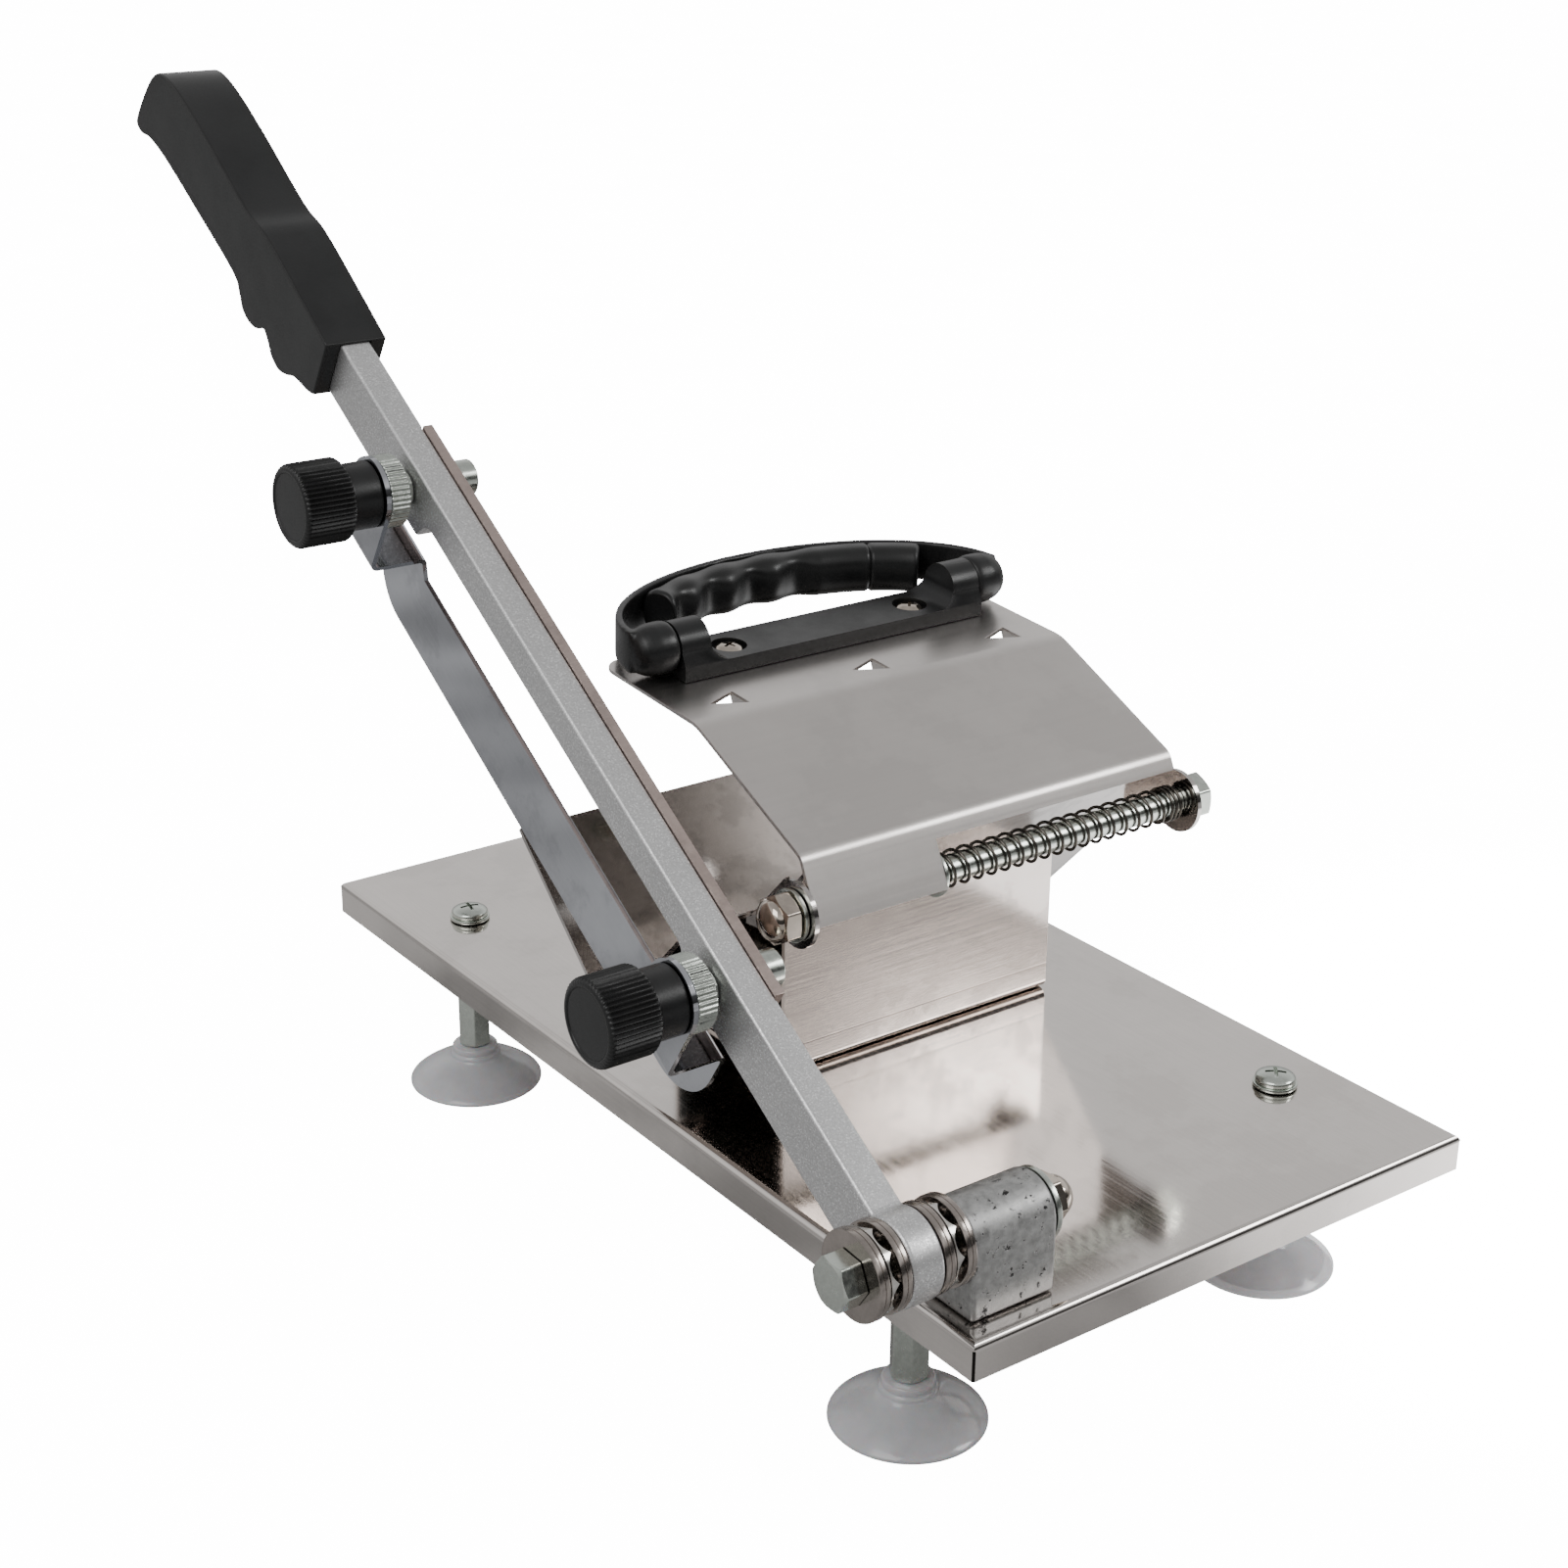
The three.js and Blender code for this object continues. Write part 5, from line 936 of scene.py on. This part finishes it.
for number, centre in enumerate(STUDS, 1):
    stud = join(turned(STUD_HEAD, "x", centre), rod(STUD_RADIUS, "x", STUD_LEFT, STUD_RIGHT, centre))
    piece(stud, f"stud_{number}", "zinc", f"blade_stud_{number}", "lever", LEVER)
    nut = hexagon(THIN_NUT_FLATS, "x", THIN_NUT_LEFT, THIN_NUT_RIGHT, centre)
    drill(nut, STUD_BORE, THIN_NUT_LEFT, THIN_NUT_RIGHT, centre)
    piece(nut, f"thin_nut_{number}", "zinc", f"stud_nut_{number}", "lever", LEVER)
    profile = mirrored(KNURL_HALF, KNURL_LEFT, KNURL_RIGHT)
    knurled = turned(profile, "x", centre, 6 * KNURL_TEETH, KNURL_TEETH)
    piece(knurled, f"knurled_{number}", "zinc", f"knurled_nut_{number}", f"nut_{number}", LEVER, CURVED)
    knob = turned(KNOB, "x", centre, 6 * KNOB_FLUTES, KNOB_FLUTES)
    body = f"knob_{number}"
    piece(knob, f"{body}_cap", "black_plastic", f"gauge_{body}", body, LEVER, CURVED)

# Slice gauge: two tabs on the studs, a shelf, and the strip beside the blade
GAUGE_FROM, GAUGE_TO = 76.7, 281.8
GAUGE_SHEET = 1.5
GAUGE_BEND = 1.6
TAB, STRIP = -26.65, -8.75
TAB_TOP, SHELF, STRIP_TOP, STRIP_BOTTOM = 10.8, -24.15, -29.8, -53.4
TAB_HALF = 10.8
NECK_WIDTH = 21.6
NECK_SLANT = 3
STRIP_ROUNDING = 18


def gauge_plate():
    line = [(TAB_TOP, TAB), (SHELF, TAB), (SHELF, STRIP), (STRIP_BOTTOM, STRIP)]
    made = prism(bent_sheet(line, GAUGE_SHEET, [GAUGE_BEND, GAUGE_BEND]), "y", GAUGE_FROM, GAUGE_TO)
    left, right, split = TAB - 2.5, STRIP + 2.5, SHELF - 3.1
    near, far = GAUGE_FROM + NECK_WIDTH, GAUGE_TO - NECK_WIDTH
    top = split + PAST
    outline = [(GAUGE_FROM, top), (GAUGE_FROM, STRIP_BOTTOM, STRIP_ROUNDING)]
    outline += [(GAUGE_TO, STRIP_BOTTOM, STRIP_ROUNDING), (GAUGE_TO, top), (far, top)]
    outline += [(far - NECK_SLANT, STRIP_TOP), (near + NECK_SLANT, STRIP_TOP), (near, top)]
    mask = prism(rounded(outline), "x", left, right)
    rounding = TAB_HALF - RUN
    for stud in STUDS:
        back, front = stud[1] - TAB_HALF, stud[1] + TAB_HALF
        tab = rounded([(back, split), (front, split), (front, 8, rounding), (back, 8, rounding)])
        join(mask, prism(tab, "x", left, right))
    common(made, mask)
    drill(made, STUD_BORE, TAB, TAB, *STUDS)
    return bevel(made, FINE_EDGE, 2, 50)


piece(gauge_plate(), "gauge_sheet", "gauge_steel", "gauge_plate", "gauge", LEVER)

# Guide rod's line and the trough with its ears
ROD = (0, 103.5, 72)
ROD_RADIUS = 4
ROD_BORE = ROD_RADIUS + RUN
TROUGH_FRONT, TROUGH_BEND, TROUGH_REAR = (107.8, 81.3), (165, 20.1), (213, 64)
TROUGH_LEFT, TROUGH_RIGHT = -1.2, 163
TROUGH_SHEET = 1.45
TROUGH_ROUNDING = 4
TONGUE_LEFT = 28
LOW_EDGE = 123.4
EARS = (20, TROUGH_RIGHT - TROUGH_SHEET)
EAR_RADIUS = 9.6
EAR_DEGREES = range(64, 295, 6)


def front_wall(y):
    slope = (TROUGH_BEND[1] - TROUGH_FRONT[1]) * (y - TROUGH_FRONT[0]) / (TROUGH_BEND[0] - TROUGH_FRONT[0])
    return (y, TROUGH_FRONT[1] + slope)


def trough():
    line = [TROUGH_FRONT, TROUGH_BEND, TROUGH_REAR]
    made = prism(bent_sheet(line, TROUGH_SHEET, [TROUGH_ROUNDING]), "x", TROUGH_LEFT, TROUGH_RIGHT)
    y, z = front_wall(LOW_EDGE)
    cut(made, box((TROUGH_LEFT - PAST, TONGUE_LEFT), (TROUGH_FRONT[0] - 2, y), (z, TROUGH_FRONT[1] + 2)))
    rim = [radians(degrees) for degrees in EAR_DEGREES]
    outline = [(ROD[1] + EAR_RADIUS * cos(a), ROD[2] + EAR_RADIUS * sin(a)) for a in rim]
    outline = [front_wall(TROUGH_FRONT[0]), *outline, front_wall(TROUGH_FRONT[0] + 2 * EAR_RADIUS)]
    for x in EARS:
        join(made, prism(outline, "x", x, x + TROUGH_SHEET))
    drill(made, ROD_BORE, EARS[0], TROUGH_RIGHT, ROD)
    return bevel(made, FINE_EDGE, 2, 50)


piece(trough(), "vee", "bright_steel", "trough")

# Bracket under the trough
BRACKET_LEFT, BRACKET_RIGHT = 42.5, 144.8
BRACKET_FRONT, BRACKET_BACK = 138.3, 196.3
BRACKET_SHEET = 1.5
TROUGH_ROOM = 1.75
SCRIBE_LOW, SCRIBE_HIGH = 8.85, 9.15
SCRIBE_DEPTH = 0.15


def bracket():
    half = BRACKET_SHEET / 2
    front, back, low, top = BRACKET_FRONT + half, BRACKET_BACK - half, GAP + half, TROUGH_FRONT[1]
    line = [(front, top), (front, low), (back, low), (back, top)]
    made = prism(bent_sheet(line, BRACKET_SHEET, [BRACKET_SHEET] * 2), "x", BRACKET_LEFT, BRACKET_RIGHT)
    span = (BRACKET_LEFT - PAST, BRACKET_RIGHT + PAST)
    under = [(y, z - TROUGH_ROOM) for y, z in (TROUGH_FRONT, TROUGH_BEND, TROUGH_REAR)]
    over = top + TROUGH_ROOM
    cut(made, prism([*under, (TROUGH_REAR[0], over), (TROUGH_FRONT[0], over)], "x", *span))
    cut(made, box(span, (BRACKET_FRONT - 0.1, BRACKET_FRONT + SCRIBE_DEPTH), (SCRIBE_LOW, SCRIBE_HIGH)))
    return bevel(made, FINE_EDGE, 2, 50)


piece(bracket(), "channel", "bracket_steel", "trough_bracket")

# Guide rod with its washers, cap nut, sleeve and spring washer
ROD_LEFT = 11.5
ROD_FLATS = 13
ROD_HEAD = 5.3
ROD_WASHER = 1.3
ROD_WASHER_RADIUS = 7.6
RIGHT_WASHER = TROUGH_RIGHT + GAP
LEFT_WASHER = EARS[0] - GAP - ROD_WASHER
HEAD_LEFT = RIGHT_WASHER + ROD_WASHER + GAP
SLEEVE_LEFT, SLEEVE_RIGHT = 22, 67
SLEEVE_RADIUS = 5.5
head = hexagon(ROD_FLATS, "x", HEAD_LEFT, HEAD_LEFT + ROD_HEAD, ROD, pi / 6, (False, True))
bar = join(rod(ROD_RADIUS, "x", ROD_LEFT, 167, ROD), head)
piece(bar, "rod_bolt", "zinc", "guide_rod", angle=FACETED)
for side, left in (("right", RIGHT_WASHER), ("left", LEFT_WASHER)):
    washer = ring(ROD_BORE, ROD_WASHER_RADIUS, "x", left, left + ROD_WASHER, ROD)
    piece(washer, f"rod_ring_{side}", "zinc", f"rod_washer_{side}")
nut = cap_nut(ROD_FLATS, LEFT_WASHER - GAP, 5.4, 5.9, 3.4, ROD_BORE, ROD, -1, pi / 6)
piece(nut, "rod_dome_nut", "chrome", "rod_cap_nut", angle=FACETED)
sleeve = ring(ROD_BORE, SLEEVE_RADIUS, "x", SLEEVE_LEFT, SLEEVE_RIGHT, ROD, 0.2)
piece(sleeve, "sleeve", "zinc", "press_sleeve", "press")
spring_washer = ring(ROD_BORE, 7, "x", SLEEVE_RIGHT + GAP, SLEEVE_RIGHT + GAP + 1.2, ROD)
piece(spring_washer, "spring_ring", "zinc", "spring_washer", "carriage")

# Spring, squashed towards its right end
SPRING_LEFT, SPRING_RIGHT = 68.8, 161.25
SPRING_RADIUS = 5.5
WIRE = 1.0
OPEN_CURLS, CLOSE_CURLS = 17, 3
CLOSE_PITCH = 1.7
CURL_STEPS = 28


def spring():
    start, end = SPRING_LEFT + 1.2 * WIRE, SPRING_RIGHT - 1.2 * WIRE
    pitch = (end - start - CLOSE_CURLS * CLOSE_PITCH) / OPEN_CURLS
    points = []
    for step in range((OPEN_CURLS + CLOSE_CURLS) * CURL_STEPS + 1):
        curls = step / CURL_STEPS
        x = start + min(curls, OPEN_CURLS) * pitch + max(curls - OPEN_CURLS, 0) * CLOSE_PITCH
        points.append(around("x", ROD, SPRING_RADIUS - WIRE / 2, 2 * pi * curls + pi / 8, x))
    return tube(points, WIRE / 2, 10)


coil = piece(spring(), "coil", "spring_steel", "press_spring", angle=SOFT)
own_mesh(coil)

# Press plate with three folded teeth
PLATE_LEFT, PLATE_RIGHT = 22, 158
PLATE_BENDS = [4, 14]
PLATE_ROUNDING = 7
PLATE_LOW, PLATE_HIGH = 68.3, 116
SPRING_WINDOW = (67, PLATE_RIGHT + PAST), (93.5, 105.2), (PLATE_LOW, 83.5)
TOOTH = 10.5
TOOTH_HALF = 4.5
TOOTH_BACK = 9.5
TOOTH_PLACES = (33.5, 84.5, 135.5)
WINDOW_DEPTH = 2.4


def press_plate():
    """The folded sheet with its window for the spring, and teeth folded down out of three windows."""
    made = prism(bent_sheet(PRESS, PRESS_SHEET, PLATE_BENDS), "x", PLATE_LEFT, PLATE_RIGHT)
    front, back = PRESS[0][0] - 2, PANEL_TO[0]
    corners = [(PLATE_RIGHT, back, PLATE_ROUNDING), (PLATE_LEFT, back, PLATE_ROUNDING)]
    plan = rounded([(PLATE_LEFT, front), (PLATE_RIGHT, front), *corners])
    common(made, prism(plan, "z", PLATE_LOW, PLATE_HIGH))
    cut(made, box(*SPRING_WINDOW))
    y = PANEL_FROM[0] + TOOTH_BACK
    z = PANEL_FROM[1] + TOOTH_BACK * tan(PANEL_TURN)
    rise = TOOTH_HALF * tan(PANEL_TURN)
    spikes = []
    for place in TOOTH_PLACES:
        end = place + TOOTH
        window = [(place, y), (end, y - TOOTH_HALF), (end, y + TOOTH_HALF)]
        cut(made, prism(window, "z", z - WINDOW_DEPTH, z + WINDOW_DEPTH))
        spike = [(y - TOOTH_HALF, z - rise), (y, z - TOOTH), (y + TOOTH_HALF, z + rise)]
        spikes.append(prism(spike, "x", end - PRESS_SHEET / 2, end + PRESS_SHEET / 2))
    return join(bevel(made, FINE_EDGE, 2, 50), *spikes)


piece(press_plate(), "folded_plate", "brushed_steel", "press_plate", "press")

# Handle's foot: a bar with a lug at either end
LUG_LEFT, LUG_RIGHT = 35, 146
LUG = 10
LUG_RADIUS = 7.3
LUG_SIDES = 32
FOOT_HALF = 9.2
BAR = 4.6
AXIS_RISE = 8.7
HANDLE_AXIS = (0, 0, AXIS_RISE)
HANDLE_SCREWS = [56.5, 124.5]
SINK = 2
PIN_RADIUS = 2.6
PIN_BORE = PIN_RADIUS + RUN
PIN_HALF = 7.25


def handle_foot():
    """What a view from the side and one from the end have in common, with holes for screws and pins."""
    low, bar_top, top = GAP, GAP + BAR, AXIS_RISE + FOOT_HALF + PAST
    inner_left, inner_right = LUG_LEFT + LUG, LUG_RIGHT - LUG
    side_view = [(LUG_LEFT, low), (LUG_RIGHT, low), (LUG_RIGHT, top), (inner_right, top)]
    side_view += [(inner_right, bar_top, 6), (inner_left, bar_top, 6), (inner_left, top), (LUG_LEFT, top)]
    made = prism([(p[1], p[0]) for p in rounded(side_view)], "y", -FOOT_HALF, FOOT_HALF)
    angles = [pi * k / LUG_SIDES for k in range(LUG_SIDES + 1)]
    arch = [(LUG_RADIUS * cos(a), AXIS_RISE + LUG_RADIUS * sin(a)) for a in angles]
    end_view = [(-FOOT_HALF, low), (FOOT_HALF, low), (FOOT_HALF, bar_top), *arch, (-FOOT_HALF, bar_top)]
    common(made, prism(end_view, "x", LUG_LEFT - PAST, LUG_RIGHT + PAST))
    bevel(made, 0.9, 3)
    for x in HANDLE_SCREWS:
        cut(made, rod(2 + RUN, "z", -PAST, 6, (x, 0, 0)), rod(5.4, "z", bar_top - SINK, 7, (x, 0, 0)))
    for x in (LUG_LEFT, LUG_RIGHT):
        cut(made, rod(PIN_BORE, "x", x - PIN_HALF - GAP, x + PIN_HALF + GAP, HANDLE_AXIS))
    return made


piece(handle_foot(), "handle_foot", "black_plastic", "handle_base", "press", HANDLE)

# Bail: its frame's z runs from the pins' axis to the middle of the bail, which lies folded back
BAIL = HANDLE @ Matrix.Translation(HANDLE_AXIS) @ Matrix.Rotation(-radians(92), 4, "X")
BAIL_LEFT, BAIL_RIGHT = 22, 159
BAIL_MIDDLE, BAIL_HALF = (BAIL_LEFT + BAIL_RIGHT) / 2, (BAIL_RIGHT - BAIL_LEFT) / 2
BAIL_REACH = 43.3
BAIL_STRIP = 2.4
STRIP_HALF_WIDTH = 6.3
EYE_INSIDE_LEFT, EYE_INSIDE_RIGHT = 34.7, 146.3
EYE_PROFILE = [  # radius and distance from the eye's inner face
    *[(0, 0), (7.2, 0), (7.75, 0.9), (7.9, 2.8), (7.8, 6.2), (7.3, 8.6)],
    *[(6.3, 10.6), (4.6, 12), (2.4, 12.6), (0, 12.7)],
]
VOXEL = 0.62
GRIP_OUTSIDE = BAIL_STRIP + GAP
GRIP_DEPTH = 13
OUTER_START, OUTER_SPAN = 46, 101
INNER_START, INNER_SPAN = 38.5, 114.5
GRIP_HALF_WIDTH = 7.5
DENTS = 4
DENTED = 0.64  # the share of the grip's length that has dents
DENT_DEPTH, DENT_PINCH = 0.4, 0.2
GROOVE = 0.81
GROOVE_DEPTH, GROOVE_WIDTH = 0.75, 0.005
END_ROUNDING, END_SHARE = 0.16, 0.02
SQUARENESS = 0.8


def bail_point(inset, degrees):
    """A point of the bail's ellipse, drawn in by inset."""
    angle = radians(degrees)
    return Vector((BAIL_MIDDLE - (BAIL_HALF - inset) * cos(angle), (BAIL_REACH - inset) * sin(angle)))


def hoop():
    """An elliptical strip that ends in rounded eyes outside the lugs."""
    turns = range(0, 181, 2)
    line = [bail_point(0, a) for a in turns] + [bail_point(BAIL_STRIP, a) for a in reversed(turns)]
    strip = bevel(prism([(p.y, p.x) for p in line], "y", -STRIP_HALF_WIDTH, STRIP_HALF_WIDTH), 0.5, 3, 50)
    for inside, way in ((EYE_INSIDE_LEFT, -1), (EYE_INSIDE_RIGHT, 1)):
        eye = [(radius, inside + way * depth) for radius, depth in EYE_PROFILE]
        join(strip, turned(eye, "x", ORIGIN, 48))
    smoothed(strip, VOXEL, 4)
    for x in (LUG_LEFT, LUG_RIGHT):
        cut(strip, rod(PIN_BORE, "x", x - PIN_HALF - GAP, x + PIN_HALF + GAP, ORIGIN))
    return strip


def finger_grip():
    """A sleeve inside the hoop: finger dents on its inner side, a parting groove and a plain end."""
    sections = []
    steps, sides = 180, 40
    for i in range(steps + 1):
        share = i / steps
        outer = bail_point(GRIP_OUTSIDE, OUTER_START + OUTER_SPAN * share)
        inner = bail_point(GRIP_OUTSIDE + GRIP_DEPTH, INNER_START + INNER_SPAN * share)
        middle, half = (outer + inner) / 2, (outer - inner) / 2
        dent = 0.5 - 0.5 * cos(2 * pi * DENTS * share / DENTED) if share < DENTED else 0.0
        groove = GROOVE_DEPTH * exp(-(((share - GROOVE) / GROOVE_WIDTH) ** 2))
        end = 1 - END_ROUNDING * (1 - min(1.0, min(share, 1 - share) / END_SHARE)) ** 2
        section = []
        for k in range(sides):
            angle = 2 * pi * k / sides
            c, s = cos(angle), sin(angle)
            deep = copysign(abs(s) ** SQUARENESS, s)
            wide = copysign(abs(c) ** SQUARENESS, c)
            inside = max(0.0, -s)
            reach = (1 - groove / (GRIP_DEPTH / 2)) * (1 - DENT_DEPTH * dent * inside)
            spot = middle + half * (deep * reach * end)
            pinch = 1 - DENT_PINCH * dent * (0.4 + 0.6 * inside)
            section.append(Vector((spot.x, wide * (GRIP_HALF_WIDTH - groove) * pinch * end, spot.y)))
        sections.append(section)
    return loft(sections)


piece(hoop(), "bail_hoop", "black_plastic", "handle_bail", "bail", BAIL, SOFT)
piece(finger_grip(), "finger_grip", "black_plastic", "handle_grip", "bail", BAIL, CURVED)
for number, x in enumerate((LUG_LEFT, LUG_RIGHT), 1):
    pin = rod(PIN_RADIUS, "x", x - PIN_HALF, x + PIN_HALF, HANDLE_AXIS, 32, 0.3)
    piece(pin, f"pin_{number}", "zinc", f"handle_pin_{number}", "press", HANDLE)

# Handle's screws, sunk in the bar
SEAT = GAP + BAR - SINK + GAP
SCREW_END = -7.2
for number, x in enumerate(HANDLE_SCREWS, 1):
    profile = [(0, SCREW_END), (2, SCREW_END), (2, SEAT), (4.0, SEAT), (4.2, SEAT + 0.2), (4.2, SEAT + 0.7)]
    profile += [(3.6, SEAT + 1.3), (2.4, SEAT + 1.75), (0, SEAT + 1.9)]
    screw = turned(profile, "z", (x, 0, 0))
    cross_slot(screw, (x, 0, 0), 25 * number, 2.2, 0.45, (SEAT + 0.7, SEAT + 3))
    piece(screw, f"plate_screw_{number}", "chrome", f"handle_screw_{number}", "press", HANDLE)

# CAD nodes that stay as they are, with a finish
for name, node in frame["nodes"].items():
    if node.hide_render:
        continue
    slot = next(part["material_slot"] for part in frame["record"]["subparts"] if part["node"] == name)
    node.data.materials.clear()
    node.data.materials.append(MATERIALS[slot])

# Floor: white to the camera and much dimmer to reflections, with soft glowing patches and a painted pool of
# light where the floor itself glows brighter
FLOOR_WHITE = 15
POOL_PLACE = (0.3, -0.2, 0)
POOL_RADII = (0.13, 0.26)
POOL_GLOW = 2.4


def studio_floor():
    half = 9
    floor = solid([(-half, -half, 0), (half, -half, 0), (half, half, 0), (-half, half, 0)], [(0, 1, 2, 3)])
    floor.name = "floor"
    material, tree, shader = plain("floor", metallic=0, roughness=0.9)
    shader.inputs["Base Color"].default_value = (*even(0.28), 1)
    shader.inputs["Emission Color"].default_value = (*even(1), 1)
    path = add(tree, "ShaderNodeLightPath")
    glow = levels(tree, path.outputs["Is Camera Ray"], (0, 1), (0, FLOOR_WHITE))
    patches = levels(tree, noise(tree, even(11), detail=1), (0.38, 0.62), (0.02, 0.26))
    spread = add(tree, "ShaderNodeVectorMath", {1: POOL_PLACE}, {0: mapped(tree, even(1))})
    spread.operation = "DISTANCE"
    # Painted pool of light: the floor's own glow rises around POOL_PLACE, with no lamp there
    pool = levels(tree, spread.outputs["Value"], POOL_RADII, (POOL_GLOW, 0))
    for extra in (patches, pool):
        glow = calculated(tree, "ADD", glow, extra)
    tree.links.new(glow, shader.inputs["Emission Strength"])
    floor.data.materials.append(material)
    return floor


# Surroundings: bright around the horizon, dark low in front, and white to the camera
SKY = [(0.0, 0.3), (0.18, 0.7), (0.36, 1.0), (0.52, 0.93), (0.8, 0.58), (1.0, 0.55)]
SKY_WHITE = 40


def surroundings():
    world = bpy.data.worlds.new("studio")
    bpy.context.scene.world = world
    world.use_nodes = True
    tree = world.node_tree
    background = tree.nodes["Background"]
    direction = add(tree, "ShaderNodeTexCoord").outputs["Generated"]
    way = add(tree, "ShaderNodeSeparateXYZ", {}, {"Vector": direction}).outputs
    sky = ramp(tree, way["Z"], [(place, even(value)) for place, value in SKY])
    low = levels(tree, way["Z"], (0.3, 0.45), (1, 0))
    front = levels(tree, way["Y"], (-0.2, -0.55), (0, 1))
    shade = calculated(tree, "MULTIPLY", low, front)
    dark = ramp(tree, shade, [(0.0, even(1.0)), (1.0, even(0.1))])
    tree.links.new(multiply(tree, sky, dark), background.inputs["Color"])
    sight = add(tree, "ShaderNodeLightPath")
    strength = levels(tree, sight.outputs["Is Camera Ray"], (0, 1), (1, SKY_WHITE))
    tree.links.new(strength, background.inputs["Strength"])


def lamp(name, place, target, size, power, glossy=True):
    light = bpy.data.lights.new(name, "AREA")
    light.shape = "RECTANGLE"
    light.size, light.size_y = size
    light.energy = power
    made = bpy.data.objects.new(name, light)
    bpy.context.scene.collection.objects.link(made)
    made.location = place
    made.visible_glossy = glossy
    made.rotation_euler = (Vector(target) - Vector(place)).to_track_quat("-Z", "Y").to_euler()


studio_floor()
surroundings()
lamp("key", place=(-1.3, -0.5, 1.5), target=(0, 0, 0.1), size=(1.1, 1.1), power=14)
lamp("fill", place=(1.2, -1.07, 1.16), target=(0.1, -0.15, 0.06), size=(0.62, 0.55), power=10)
lamp("back", place=(0.6, 1.6, 1.1), target=(0, 0, 0.1), size=(1.6, 0.7), power=6, glossy=False)
